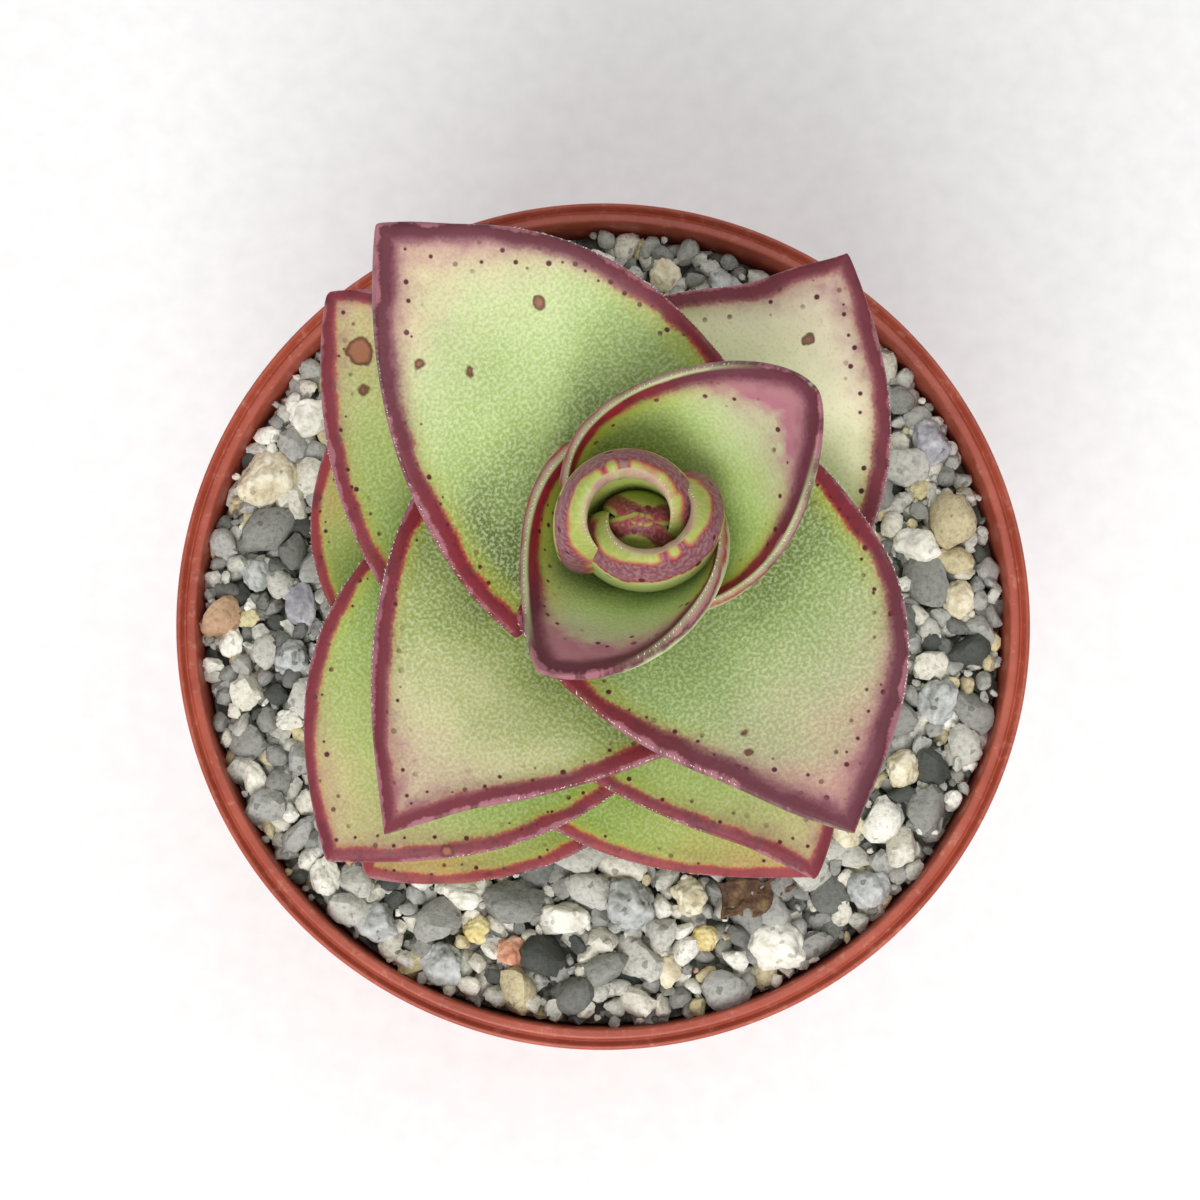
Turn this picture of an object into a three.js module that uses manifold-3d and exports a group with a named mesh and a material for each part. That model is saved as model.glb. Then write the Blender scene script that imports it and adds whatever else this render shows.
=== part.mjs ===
// A potted succulent: a stacked, red-edged crassula in an 85 mm nursery pot, top-dressed with pumice grit.
// Millimetres, +Z up, origin at the middle of the pot's foot on the surface that it stands on.
import * as THREE from 'three';
import { mergeVertices } from 'three/addons/utils/BufferGeometryUtils.js';
import Module from 'manifold-3d';

const wasm = await Module();
wasm.setup();

// ---- Driving dimensions -------------------------------------------------------------------------------

const gap = 0.3; // clearance between pieces that touch
const cutTolerance = 0.03; // crumbs and slivers under this size are smoothed out of a cut
const tiny = 0.001; // stands in for zero where a width or a height would close a face

const pot = {
  rimDiameter: 85, // over the rolled bead
  height: 68,
  footDiameter: 58,
  wall: 1.0,
  lipWidth: 2.05, // bead and flat lip together
  beadRadius: 0.42,
  lipDrop: 0.3, // the flat lip lies this far under the top of the bead
  grooveWidth: 0.15,
  grooveDepth: 0.35,
  collarHeight: 13,
  collarDraft: 0.5, // how much narrower the collar is at its foot
  collarStep: 1.0, // how far the wall steps in under the collar
  floor: 1.2,
  footRise: 2.0, // the floor stands this far above the table
  footRing: 1.6,
  drainHoles: 6,
  drainDiameter: 3.6,
  drainCircle: 36,
  drainSegments: 12,
  beadSteps: 6, // faces round the half circle of the bead
  segments: 48,
};
const fill = { drop: 3.0 }; // the grit lies this far under the top of the pot

const stem = {
  path: [[-4.5, -2.5], [-4.5, -2.0], [3.5, 4.0], [2.9, 0.2]], // plan of its four guide points
  rise: [0, 30, 31, 53], // their heights above the grit
  planted: 12, // how deep the stem stands in the grit
  footRadius: 3.6,
  tipRadius: 1.7,
  end: 0.955, // where the stem stops, as a share of the guide curve
  sides: 14,
  steps: 12,
};

// Each leaf: where it leaves the stem (share of the guide curve), compass direction and sideways sweep in
// degrees, length, then for its left and right half the width, fullness and sharpness of the outline, the
// pitch at base and tip, the radius that its section curls to at base and tip, where it starts from the
// stem's middle, the roll that tucks one edge inside the next leaf, and the thickness.
const leafShape = (node, turn, sweep, length, left, right, pitch, curl, start, roll, thick) =>
  ({ node, turn, sweep, length, left, right, pitch, curl, start, roll, thick });
const leaves = {
  a1: leafShape(0.950, 78, 0, 6.4, [3.7, 2.4, 0.6], [3.7, 2.4, 0.6], [84, 150], [3.3, 5.5], 2.2, 0, 1.2),
  a2: leafShape(0.950, -102, 0, 6.4, [3.7, 2.4, 0.6], [3.7, 2.4, 0.6], [84, 150], [3.3, 5.5], 2.2, 0, 1.2),
  b1: leafShape(0.925, 124, 0, 9.8, [9.2, 3.8, 0.62], [9.6, 4.0, 0.6], [74, 100], [4.9, 4.5], 3.4, -14, 2.6),
  b2: leafShape(0.925, -48, 0, 8.8, [9.2, 3.8, 0.62], [9.6, 4.0, 0.6], [74, 102], [4.8, 4.5], 3.4, -13, 2.6),
  c1: leafShape(0.845, 34, -2, 21, [12.7, 1.6, 0.8], [11.6, 2.1, 1.0], [37, 53], [6.4, 14], 1.8, 4, 2.2),
  c2: leafShape(0.845, -120, 1, 19.6, [13.2, 3.0, 0.9], [13.7, 0.7, 0.9], [42, 55], [7, 11.6], 2.0, 10, 2.1),
  d1: leafShape(0.735, 129, 2, 34.2, [13.6, 2.6, 1.05], [16.1, 3.4, 1.1], [18, 26], [42, 42], 0, 1, 4.0),
  d2: leafShape(0.735, -53, -2, 32.5, [17, 4.4, 1.3], [12.5, 2.2, 1.1], [16, 20], [45, 45], 0, -4, 4.0),
  e1: leafShape(0.590, 50, 2, 33.5, [16, 2.7, 1.3], [18, 3.4, 1.05], [12, 18], [50, 50], 0, 1, 4.2),
  e2: leafShape(0.590, -129, 3, 31.6, [18.5, 1.7, 1.2], [17.3, 2.1, 1.1], [12, 16], [50, 50], 0, -1, 4.2),
  f1: leafShape(0.440, 132, 2, 34.5, [15.3, 2.6, 0.95], [15, 2.8, 1.0], [10, 12], [58, 58], 0, 0, 4.2),
  f2: leafShape(0.440, -52, -4, 33.5, [15.1, 2.9, 0.92], [14.4, 1.9, 1.2], [8, 8], [58, 58], 0, 0, 4.2),
  g1: leafShape(0.310, -133, 1, 32.8, [15.6, 2.9, 1.13], [16.7, 3.5, 1.06], [6, 6], [65, 65], 0, 0, 4.1),
  g2: leafShape(0.310, 48, 0, 30, [15.5, 2.9, 1.1], [15.5, 3.2, 1.1], [6, 6], [65, 65], 0, 0, 4.1),
  h1: leafShape(0.200, 130, -1, 30, [17.3, 4.0, 0.95], [14, 2.8, 1.0], [3, 2], [70, 70], 0, 0, 3.8),
  h2: leafShape(0.200, -47, 2, 33.9, [15, 2.8, 1.0], [16.1, 2.6, 1.1], [2, -6], [70, 70], 0, 0, 3.8),
  i1: leafShape(0.120, -128, 1, 30, [17, 3.0, 0.95], [14, 2.8, 1.0], [3, 4], [70, 70], 0, 0, 3.6),
  i2: leafShape(0.120, 50, 0, 25, [14, 2.8, 1.0], [14, 2.8, 1.0], [3, 0], [70, 70], 0, 0, 3.4),
};
const closedPairs = 'abc'; // the young pairs that wrap round each other
const leafGrid = { along: 8, openSides: 12, closedSides: 20, midribSteps: 64, crowding: 0.9 };
const leafForm = {
  upperShare: 0.28, // the share of the thickness that lies above the margins
  tipRound: 0.015, // rounds the point
  neck: 0.07, // how much narrower a leaf is where it starts
  neckLength: 0.25, // the share of its length over which it widens from that
  sectionPower: 0.7, // below 1 the section stays fleshy out towards its margins
  tipPower: 6, // the higher, the longer the leaf keeps its thickness
};
const dryLeaf = {
  from: [0.310, -0.749], lift: 1.2, shape: leafShape(0, 6, 10, 7.5, [1.9, 2.5, 0.9], [1.9, 2.5, 0.9],
    [6, -6], [2.4, 3], 0, 10, 0.8),
};

// Big grains of the top dressing: colour, plan position as shares of the way from the middle to the last
// place at the edge, length, width and turn in degrees.
const grains = [
  ['white', -0.107, -0.794, 5.5, 3.8, 10], ['cream', -0.904, 0.374, 6.0, 5.4, 60],
  ['white', 0.460, -0.872, 5.8, 5.0, 150], ['grey', 0.070, -0.746, 5.6, 5.2, 100],
  ['grey', 0.695, -0.706, 4.4, 4.4, 45], ['white', 0.845, 0.198, 4.4, 4.8, 70],
  ['white', -0.733, -0.684, 4.8, 2.8, 100], ['pink', -0.238, -0.880, 3.6, 3.4, 0],
  ['lilac', 0.882, 0.481, 4.4, 4.8, 120], ['white', -0.791, 0.556, 4.4, 4.0, 20],
  ['white', -0.011, 0.979, 4.2, 3.0, 0], ['cream', 0.166, 0.947, 3.4, 3.2, 40],
  ['grey', 0.332, 0.920, 4.4, 3.2, 160], ['grey', 0.893, -0.219, 4.4, 4.4, 10],
  ['cream', 0.794, -0.401, 4.0, 4.0, 80], ['cream', 0.647, -0.556, 4.0, 3.0, 75],
  ['yellow', 0.265, -0.845, 2.9, 2.8, 30], ['cream', 0.166, -0.925, 4.0, 2.6, 100],
  ['grey', -0.417, -0.909, 4.6, 4.0, 140], ['white', -0.369, -0.730, 4.6, 2.8, 5],
  ['grey', -0.594, -0.791, 4.8, 4.2, 150], ['yellow', -0.329, -0.818, 2.8, 2.8, 0],
  ['lilac', -0.805, 0.043, 4.8, 3.2, 95], ['grey', -0.925, 0.123, 3.4, 3.4, 15],
  ['grey', -0.826, -0.096, 4.2, 3.6, 110], ['white', -0.995, -0.064, 3.4, 2.4, 95],
  ['white', -0.834, -0.270, 3.0, 2.4, 0], ['white', -0.925, -0.428, 3.8, 2.6, 110],
  ['cream', 0.227, -0.733, 3.8, 3.8, 50], ['cream', 0.947, 0.059, 4.0, 3.4, 85],
];
const grainEdge = 2.5; // the outermost grain's middle lies this far inside the bed's edge
const grainHeight = 0.75; // as a share of the grain's width
const grainSunk = 0.35; // the share of its height that lies in the bed
const grainKnock = 0.07; // how deep its slow waves knock a grain out of round
const grainWaves = [3.1, 2.3, 2.7, 1.9]; // radians of wave per radius

const finishes = {
  pot: ['#c4543a', 0.5], substrate: ['#8b8d86', 0.95], stem: ['#8f9a5c', 0.7], dry: ['#8a5a34', 0.9],
  leafYoung: ['#a9b96a', 0.45], leaf: ['#9db36b', 0.5], white: ['#e9e7dc', 0.9], cream: ['#d9cfb0', 0.9],
  grey: ['#a3a5a4', 0.85], pink: ['#d79a7c', 0.9], lilac: ['#b4b0b8', 0.8], yellow: ['#e2cf8f', 0.9],
};

// ---- Helpers ------------------------------------------------------------------------------------------

const radians = THREE.MathUtils.degToRad;
const model = new THREE.Group();
model.name = 'potted_succulent';

function toSolid(geometry) {
  const bare = geometry.clone();
  for (const name of Object.keys(bare.attributes)) if (name !== 'position') bare.deleteAttribute(name);
  const welded = mergeVertices(bare, 1e-4);
  const mesh = new wasm.Mesh({
    numProp: 3,
    vertProperties: new Float32Array(welded.attributes.position.array),
    triVerts: new Uint32Array(welded.index.array),
  });
  return new wasm.Manifold(mesh);
}

function toGeometry(solid) {
  const mesh = solid.getMesh();
  const geometry = new THREE.BufferGeometry();
  geometry.setAttribute('position', new THREE.BufferAttribute(new Float32Array(mesh.vertProperties), 3));
  geometry.setIndex(new THREE.BufferAttribute(new Uint32Array(mesh.triVerts), 1));
  geometry.computeVertexNormals();
  return geometry;
}

// The biggest body of a cut, so that a crumb beyond the cut never comes along.
function mainBody(solid) {
  const bodies = solid.simplify(cutTolerance).decompose();
  return bodies.reduce((best, body) => (body.volume() > best.volume() ? body : best));
}

function add(name, geometry, finish) {
  const [color, roughness] = finishes[finish];
  const material = new THREE.MeshStandardMaterial({ color, roughness, metalness: 0 });
  const mesh = new THREE.Mesh(geometry, material);
  mesh.name = name;
  model.add(mesh);
  return mesh;
}

// A closed skin over rings of points: the rings run counter-clockwise seen from the last ring's side.
// The last ring closes to a point. The first closes to a point too, or, with no point given, flat across
// from each point to the one opposite, which suits a section that is curled.
function skin(rings, end, start) {
  const points = rings.flat();
  const sides = rings[0].length;
  const last = points.push(end) - 1;
  const top = (rings.length - 1) * sides;
  const index = [];
  for (let k = 0; k < sides; k++) {
    const next = (k + 1) % sides;
    for (let ring = 0; ring < rings.length - 1; ring++) {
      const low = ring * sides;
      const high = low + sides;
      index.push(low + k, low + next, high + next, low + k, high + next, high + k);
    }
    index.push(top + k, top + next, last);
  }
  if (start) {
    const first = points.push(start) - 1;
    for (let k = 0; k < sides; k++) index.push(first, (k + 1) % sides, k);
  } else {
    for (let k = 0; k < sides / 2; k++) {
      const across = (sides - k) % sides;
      const nextAcross = sides - k - 1;
      if (across !== k) index.push(k, across, nextAcross);
      if (nextAcross !== k + 1) index.push(k, nextAcross, k + 1);
    }
  }
  const geometry = new THREE.BufferGeometry().setFromPoints(points);
  geometry.setIndex(index);
  geometry.computeVertexNormals();
  return geometry;
}

// ---- Pot ----------------------------------------------------------------------------------------------

const rimRadius = pot.rimDiameter / 2;
const footRadius = pot.footDiameter / 2;
const lipRadius = rimRadius - pot.lipWidth; // the inner edge of the lip
const collarFoot = pot.height - pot.collarHeight;
const collarInner = lipRadius - pot.collarDraft; // inner radius at the collar's foot
const bodyInner = collarInner - pot.collarStep; // inner radius of the wall just under the collar
const floorTop = pot.footRise + pot.floor;
const floorInner = footRadius - pot.wall;

function potGeometry() {
  const profile = [];
  const point = (radius, z) => profile.push(new THREE.Vector2(radius, z));
  point(0, pot.footRise);
  point(footRadius - pot.footRing, pot.footRise);
  point(footRadius - pot.footRing, 0);
  point(footRadius - pot.footRing / 4, 0);
  point(footRadius, pot.footRing / 4);
  point(bodyInner + pot.wall, collarFoot - pot.collarStep);
  point(collarInner + pot.wall, collarFoot);
  point(lipRadius + pot.wall, pot.height - 2 * pot.beadRadius - pot.wall / 2);
  for (let step = 0; step <= pot.beadSteps; step++) {
    const angle = radians(-90 + (180 * step) / pot.beadSteps);
    point(rimRadius - pot.beadRadius + pot.beadRadius * Math.cos(angle),
      pot.height - pot.beadRadius + pot.beadRadius * Math.sin(angle));
  }
  const lipTop = pot.height - pot.lipDrop;
  const grooveOuter = rimRadius - 2 * pot.beadRadius;
  point(grooveOuter, lipTop - pot.grooveDepth);
  point(grooveOuter - pot.grooveWidth, lipTop - pot.grooveDepth);
  point(grooveOuter - 2 * pot.grooveWidth, lipTop);
  point(lipRadius + pot.grooveWidth, lipTop);
  point(lipRadius, lipTop - pot.grooveWidth);
  point(collarInner, collarFoot + pot.wall);
  point(bodyInner, collarFoot - pot.collarStep + pot.wall);
  point(floorInner, floorTop);
  point(0, floorTop);
  return new THREE.LatheGeometry(profile, pot.segments).rotateX(Math.PI / 2);
}

function drilledPot() {
  let body = toSolid(potGeometry());
  for (let hole = 0; hole < pot.drainHoles; hole++) {
    const angle = (2 * Math.PI * hole) / pot.drainHoles;
    const drillRadius = pot.drainDiameter / 2;
    const drill = new THREE.CylinderGeometry(drillRadius, drillRadius, 4 * pot.floor, pot.drainSegments);
    drill.rotateX(Math.PI / 2);
    drill.translate((pot.drainCircle / 2) * Math.cos(angle), (pot.drainCircle / 2) * Math.sin(angle),
      pot.footRise + pot.floor / 2);
    body = body.subtract(toSolid(drill));
  }
  return body;
}

add('pot', toGeometry(drilledPot()), 'pot');

// ---- Stem ---------------------------------------------------------------------------------------------

const gritTop = pot.height - fill.drop;
const guide = new THREE.CubicBezierCurve3(
  ...stem.path.map(([x, y], i) => new THREE.Vector3(x, y, gritTop + stem.rise[i])));

function stemSolid(grow) {
  const rings = [];
  const ringAt = (centre, radius) => {
    const ring = [];
    for (let side = 0; side < stem.sides; side++) {
      const angle = (2 * Math.PI * side) / stem.sides;
      ring.push(new THREE.Vector3(radius * Math.cos(angle), radius * Math.sin(angle), 0).add(centre));
    }
    rings.push(ring);
  };
  const foot = guide.getPoint(0);
  foot.z -= stem.planted + grow;
  ringAt(foot, stem.footRadius + grow);
  for (let step = 0; step <= stem.steps; step++) {
    const share = (stem.end * step) / stem.steps;
    const radius = THREE.MathUtils.lerp(stem.footRadius, stem.tipRadius, share);
    ringAt(guide.getPoint(share), radius + grow);
  }
  const tip = guide.getPoint(stem.end);
  tip.z += stem.tipRadius / 2 + grow;
  return toSolid(skin(rings, tip, foot));
}

add('stem', toGeometry(stemSolid(0)), 'stem');

// ---- Leaves -------------------------------------------------------------------------------------------

// Points of a leaf's midrib: the pitch and the compass direction turn evenly from base to tip.
function midrib(leaf, from, grow) {
  const steps = leafGrid.midribSteps;
  const turn = (share) => radians(leaf.turn + leaf.sweep * share);
  const pitch = (share) => radians(THREE.MathUtils.lerp(leaf.pitch[0], leaf.pitch[1], share));
  const heading = (share) => new THREE.Vector3(
    Math.cos(pitch(share)) * Math.cos(turn(share)),
    Math.cos(pitch(share)) * Math.sin(turn(share)),
    Math.sin(pitch(share)));
  const out = new THREE.Vector3(Math.cos(turn(0)), Math.sin(turn(0)), 0);
  const length = leaf.length + 2 * grow;
  const points = [from.clone().addScaledVector(out, leaf.start).addScaledVector(heading(0), -grow)];
  for (let step = 1; step <= steps; step++) {
    const along = heading((step - 0.5) / steps);
    points.push(points[step - 1].clone().addScaledVector(along, length / steps));
  }
  return (share) => {
    const place = Math.min(share * steps, steps - tiny);
    const low = Math.floor(place);
    const centre = points[low].clone().lerp(points[low + 1], place - low);
    const side = new THREE.Vector3(-Math.sin(turn(share)), Math.cos(turn(share)), 0);
    const up = heading(share).cross(side);
    const roll = radians(leaf.roll);
    const rolledSide = side.clone().multiplyScalar(Math.cos(roll)).addScaledVector(up, Math.sin(roll));
    const rolledUp = up.clone().multiplyScalar(Math.cos(roll)).addScaledVector(side, -Math.sin(roll));
    return { centre, side: rolledSide, up: rolledUp };
  };
}

// Half width = width * (1 - share^fullness)^sharpness, a little narrower at the base, round at the tip.
function halfWidth([width, fullness, sharpness], share, grow) {
  const outline = (1 - share ** fullness) ** sharpness;
  const rounding = Math.sqrt(1 + leafForm.tipRound / Math.max(1 - share, tiny));
  const neck = 1 - leafForm.neck * Math.max(0, 1 - share / leafForm.neckLength) ** 2;
  return width * outline * rounding * neck + grow;
}

// The leaf as one closed skin: rings of points round the section at stations from base to tip.
function leafSolid(leaf, from, sides, grow) {
  const frameAt = midrib(leaf, from, grow);
  const upper = leaf.thick * leafForm.upperShare + grow;
  const under = leaf.thick * (1 - leafForm.upperShare) + grow;
  const rings = [];
  for (let station = 0; station < leafGrid.along; station++) {
    const share = Math.sin(((station / leafGrid.along) * Math.PI) / 2) ** leafGrid.crowding;
    const { centre, side, up } = frameAt(share);
    const curl = THREE.MathUtils.lerp(leaf.curl[0], leaf.curl[1], 1 - (1 - share) ** 2);
    const fatness = Math.sqrt(1 - share ** leafForm.tipPower);
    const ring = [];
    for (let k = 0; k < sides; k++) {
      const angle = (2 * Math.PI * k) / sides;
      const across = Math.cos(angle);
      const reach = halfWidth(across >= 0 ? leaf.left : leaf.right, share, grow) * across;
      const skinDepth = Math.abs(Math.sin(angle)) ** leafForm.sectionPower * fatness;
      const depth = Math.sin(angle) >= 0 ? upper * skinDepth : -under * skinDepth;
      const bend = reach / curl;
      const arm = curl - depth; // the section is an arc: points off the skin lie on a smaller or larger one
      ring.push(centre.clone()
        .addScaledVector(side, arm * Math.sin(bend))
        .addScaledVector(up, curl - arm * Math.cos(bend)));
    }
    rings.push(ring);
  }
  return toSolid(skin(rings, frameAt(1).centre));
}

// Everything behind a leaf's own half of its pair: a block whose front face stands half a gap off.
function farSide(leaf, from) {
  const reach = 4 * leaf.length;
  const block = new THREE.BoxGeometry(reach, reach, reach).translate(gap / 2 - reach / 2, 0, 0);
  block.rotateZ(radians(leaf.turn));
  return toSolid(block.translate(from.x, from.y, from.z));
}

const grownStem = stemSolid(gap);
const placedLeaves = [];
for (const [name, leaf] of Object.entries(leaves)) {
  const closed = closedPairs.includes(name[0]);
  const sides = closed ? leafGrid.closedSides : leafGrid.openSides;
  const from = guide.getPoint(leaf.node);
  let solid = leafSolid(leaf, from, sides, 0).subtract(grownStem);
  if (!closed) solid = solid.subtract(farSide(leaf, from));
  for (const inner of placedLeaves) solid = solid.subtract(inner);
  placedLeaves.push(leafSolid(leaf, from, sides, gap));
  add(`leaf_${name}`, toGeometry(mainBody(solid)), closed ? 'leafYoung' : 'leaf');
}

// ---- Grit, pebbles and the fallen leaf ----------------------------------------------------------------

const bedRadius = THREE.MathUtils.mapLinear(
  gritTop, collarFoot + pot.wall, pot.height - pot.lipDrop, collarInner, lipRadius) - gap;
const grainReach = bedRadius - grainEdge;

// A pebble: a ball of 80 faces, knocked out of round by slow waves that differ from grain to grain.
function pebbleSolid([, x, y, length, width, turn], order, grow) {
  const ball = new THREE.IcosahedronGeometry(1, 1);
  const place = ball.attributes.position;
  const spot = new THREE.Vector3();
  const [a, b, c, d] = grainWaves;
  for (let i = 0; i < place.count; i++) {
    spot.fromBufferAttribute(place, i).normalize();
    const wave = Math.sin(a * spot.x + b * spot.y + order) * Math.cos(c * spot.z - d * spot.x + 2 * order);
    const knock = 1 - grainKnock * (1 + wave);
    spot.multiplyScalar(knock);
    place.setXYZ(i, spot.x, spot.y, spot.z);
  }
  const height = grainHeight * width;
  ball.scale(length / 2 + grow, width / 2 + grow, height / 2 + grow);
  ball.rotateZ(radians(turn));
  return toSolid(ball.translate(grainReach * x, grainReach * y, gritTop + height * (0.5 - grainSunk)));
}

// The bed of grit fills the pot down to its floor, a clearance off the wall.
function bedGeometry() {
  const profile = [
    [0, floorTop + gap],
    [floorInner - gap, floorTop + gap],
    [bodyInner - gap, collarFoot - pot.collarStep + pot.wall],
    [collarInner - gap, collarFoot + pot.wall + gap],
    [bedRadius, gritTop],
    [0, gritTop],
  ].map(([radius, z]) => new THREE.Vector2(radius, z));
  return new THREE.LatheGeometry(profile, pot.segments).rotateX(Math.PI / 2);
}

let bed = toSolid(bedGeometry()).subtract(grownStem);
const counts = {};
const placedGrains = [];
grains.forEach((grain, order) => {
  const [colour] = grain;
  counts[colour] = (counts[colour] ?? 0) + 1;
  let pebble = pebbleSolid(grain, order, 0);
  for (const other of placedGrains) pebble = pebble.subtract(other);
  placedGrains.push(pebbleSolid(grain, order, gap));
  bed = bed.subtract(placedGrains[order]);
  add(`pebble_${colour}_${counts[colour]}`, toGeometry(mainBody(pebble)), colour);
});
add('substrate', toGeometry(mainBody(bed)), 'substrate');

const [dryX, dryY] = dryLeaf.from;
const dryFrom = new THREE.Vector3(grainReach * dryX, grainReach * dryY, gritTop + dryLeaf.lift);
let dry = leafSolid(dryLeaf.shape, dryFrom, leafGrid.openSides, 0);
for (const grain of placedGrains) dry = dry.subtract(grain);
add('dry_leaf', toGeometry(mainBody(dry)), 'dry');

export default model;
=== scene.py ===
# %% [markdown]
# # A potted succulent
# A crassula grows as a square stack: each pair of leaves sits crosswise on the pair below, and the two
# youngest pairs are still wound up as a bud. It stands in a round plastic nursery pot, and the soil is
# covered with pale grit. The CAD model gives every piece its place and size. This lesson gives each one
# its fine shape and its finish.

# %% Load the CAD frame
import math

import bpy
import numpy as np
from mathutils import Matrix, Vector


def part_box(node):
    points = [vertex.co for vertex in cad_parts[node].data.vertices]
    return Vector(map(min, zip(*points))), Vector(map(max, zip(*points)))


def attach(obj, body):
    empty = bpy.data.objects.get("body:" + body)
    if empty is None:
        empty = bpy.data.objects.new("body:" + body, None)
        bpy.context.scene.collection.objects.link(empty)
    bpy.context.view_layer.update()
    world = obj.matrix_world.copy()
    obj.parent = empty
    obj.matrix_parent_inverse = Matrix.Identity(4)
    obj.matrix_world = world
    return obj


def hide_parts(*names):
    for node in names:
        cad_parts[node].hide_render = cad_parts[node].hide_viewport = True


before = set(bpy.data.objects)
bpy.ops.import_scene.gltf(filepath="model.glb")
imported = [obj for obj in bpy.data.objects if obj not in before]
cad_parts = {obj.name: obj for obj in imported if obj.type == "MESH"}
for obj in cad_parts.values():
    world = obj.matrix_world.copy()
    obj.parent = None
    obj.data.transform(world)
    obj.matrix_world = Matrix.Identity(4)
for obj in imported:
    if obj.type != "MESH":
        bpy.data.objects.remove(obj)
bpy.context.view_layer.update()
mm = 0.001

# %% [markdown]
# The view is from almost straight above, as one looks at a plant on a table: 8 degrees off the vertical,
# from a quarter of a metre. A lens of about 75 mm keeps the top leaves from looking too large.

# %% Camera
VIEW_ELEVATION = math.radians(82)
VIEW_DISTANCE = 250 * mm
LENS, SENSOR = 75.54, 36  # mm: focal length and width
AIM = Vector((-0.31, 1.60, 68.2)) * mm  # just in front of the pot's middle, level with its rim

lens = bpy.data.cameras.new("camera")
lens.lens, lens.sensor_width, lens.clip_start = LENS, SENSOR, 10 * mm
camera = bpy.data.objects.new("camera", lens)
back = Vector((0, -math.cos(VIEW_ELEVATION), math.sin(VIEW_ELEVATION)))
camera.location = AIM + back * VIEW_DISTANCE
camera.rotation_euler = back.to_track_quat("Z", "Y").to_euler()
bpy.context.scene.collection.objects.link(camera)
bpy.context.scene.camera = camera
print("camera at, mm:", [round(v / mm, 1) for v in camera.location])

# %% [markdown]
# A cloudy sky and two big soft lamps light the plant. The stronger one is a window at the front, so the
# leaves at the back, which lean towards it, are the brightest.

# %% Light
SKY = 0.56
# name, place in m, width in m, watts
LAMPS = [("window", (-0.08, -0.44, 0.54), 0.40, 3.4), ("ceiling", (0.14, 0.22, 0.76), 0.50, 1.1)]
scene = bpy.context.scene
scene.view_settings.view_transform = "Standard"
world = bpy.data.worlds.new("cloudy_sky")
world.use_nodes = True
world.node_tree.nodes["Background"].inputs["Color"].default_value = (1, 1, 1, 1)
world.node_tree.nodes["Background"].inputs["Strength"].default_value = SKY
scene.world = world
for name, place, size, watts in LAMPS:
    lamp = bpy.data.lights.new(name, "AREA")
    lamp.energy, lamp.size = watts, size
    light = bpy.data.objects.new(name, lamp)
    light.location = place
    light.rotation_euler = (Vector(place) - AIM).to_track_quat("Z", "Y").to_euler()
    scene.collection.objects.link(light)

# %% [markdown]
# Colours are picked as sRGB hex values, as a painter reads them off a chart, but a renderer adds light in
# linear numbers. One function turns the first into the second. One more adds a shader node with its
# settings and links, so that a finish reads from top to bottom.

# %% Colours and nodes
def colour(code, strength=1.0):
    """An sRGB hex colour as linear RGBA: c/12.92 up to 0.04045, above it ((c + 0.055)/1.055)^2.4."""
    shares = [int(code[i:i + 2], 16) / 255 for i in (1, 3, 5)]
    return (*(s / 12.92 if s <= 0.04045 else ((s + 0.055) / 1.055) ** 2.4 for s in shares), strength)


def add_node(tree, kind, inputs=None, out=0, stops=None, **settings):
    """Adds a node, sets its settings, feeds each input a value or another output, gives back an output.
    Inputs go by name or, where several share one, by number, as on Math: 0, 1, 2."""
    node = tree.nodes.new("ShaderNode" + kind)
    for name, value in settings.items():
        setattr(node, name, value)
    if stops:
        ends = node.color_ramp.elements
        (ends[0].position, ends[0].color), (ends[-1].position, ends[-1].color) = stops[0], stops[-1]
        for position, shade in stops[1:-1]:
            ends.new(position).color = shade
    for socket, value in (inputs or {}).items():
        if isinstance(value, bpy.types.NodeSocket):
            tree.links.new(value, node.inputs[socket])
        else:
            node.inputs[socket].default_value = value
    return node.outputs[out] if node.outputs else node


# a Mix node that blends two colours: its settings, and the numbers of its two colour sockets
BLEND = dict(out=2, data_type="RGBA")
UNDER, OVER = 6, 7


def new_material(name):
    """An empty material and its node tree."""
    material = bpy.data.materials.new(name)
    material.use_nodes = True
    material.node_tree.nodes.clear()
    return material, material.node_tree


def finish_with(tree, **sockets):
    """Ends a tree in one principled shader, with these values and links on its sockets."""
    names = {key: key.replace("_", " ") for key in sockets}
    shader = add_node(tree, "BsdfPrincipled", {names[key]: value for key, value in sockets.items()})
    add_node(tree, "OutputMaterial", {"Surface": shader})


print("linear mid grey:", [round(v, 3) for v in colour("#808080")])

# %% [markdown]
# The leaves, the stem, the pot and the grit bed are skins over rings of points: a leaf has rings round its
# midrib, and the pot has them round its axis. One function joins neighbouring rings with quads and closes
# the two ends, so that each piece is one closed solid with its faces outwards.

# %% Skins
def skin_faces(rings, around, flat_start=False):
    """Faces of a closed skin. Rings of `around` points run counter-clockwise seen from the last one.
    The ends close to the two pole points that follow the rings, or the first flat across itself."""
    ring, side = np.meshgrid(np.arange(rings - 1), np.arange(around), indexing="ij")
    low, turn = ring * around, (side + 1) % around
    quads = np.stack([low + side, low + turn, low + around + turn, low + around + side], -1).reshape(-1, 4)
    side, turn, top = np.arange(around), (np.arange(around) + 1) % around, (rings - 1) * around
    end = np.stack([top + side, top + turn, np.full(around, rings * around)], -1)
    if flat_start:
        k = np.arange(1, around // 2 - 1)
        start = np.stack([k, around - k, around - k - 1, k + 1], -1).tolist()
        start += [[0, around - 1, 1], [around // 2 - 1, around // 2 + 1, around // 2]]
    else:
        start = np.stack([np.full(around, rings * around + 1), turn, side], -1).tolist()
    return quads.tolist() + end.tolist() + start


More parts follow.
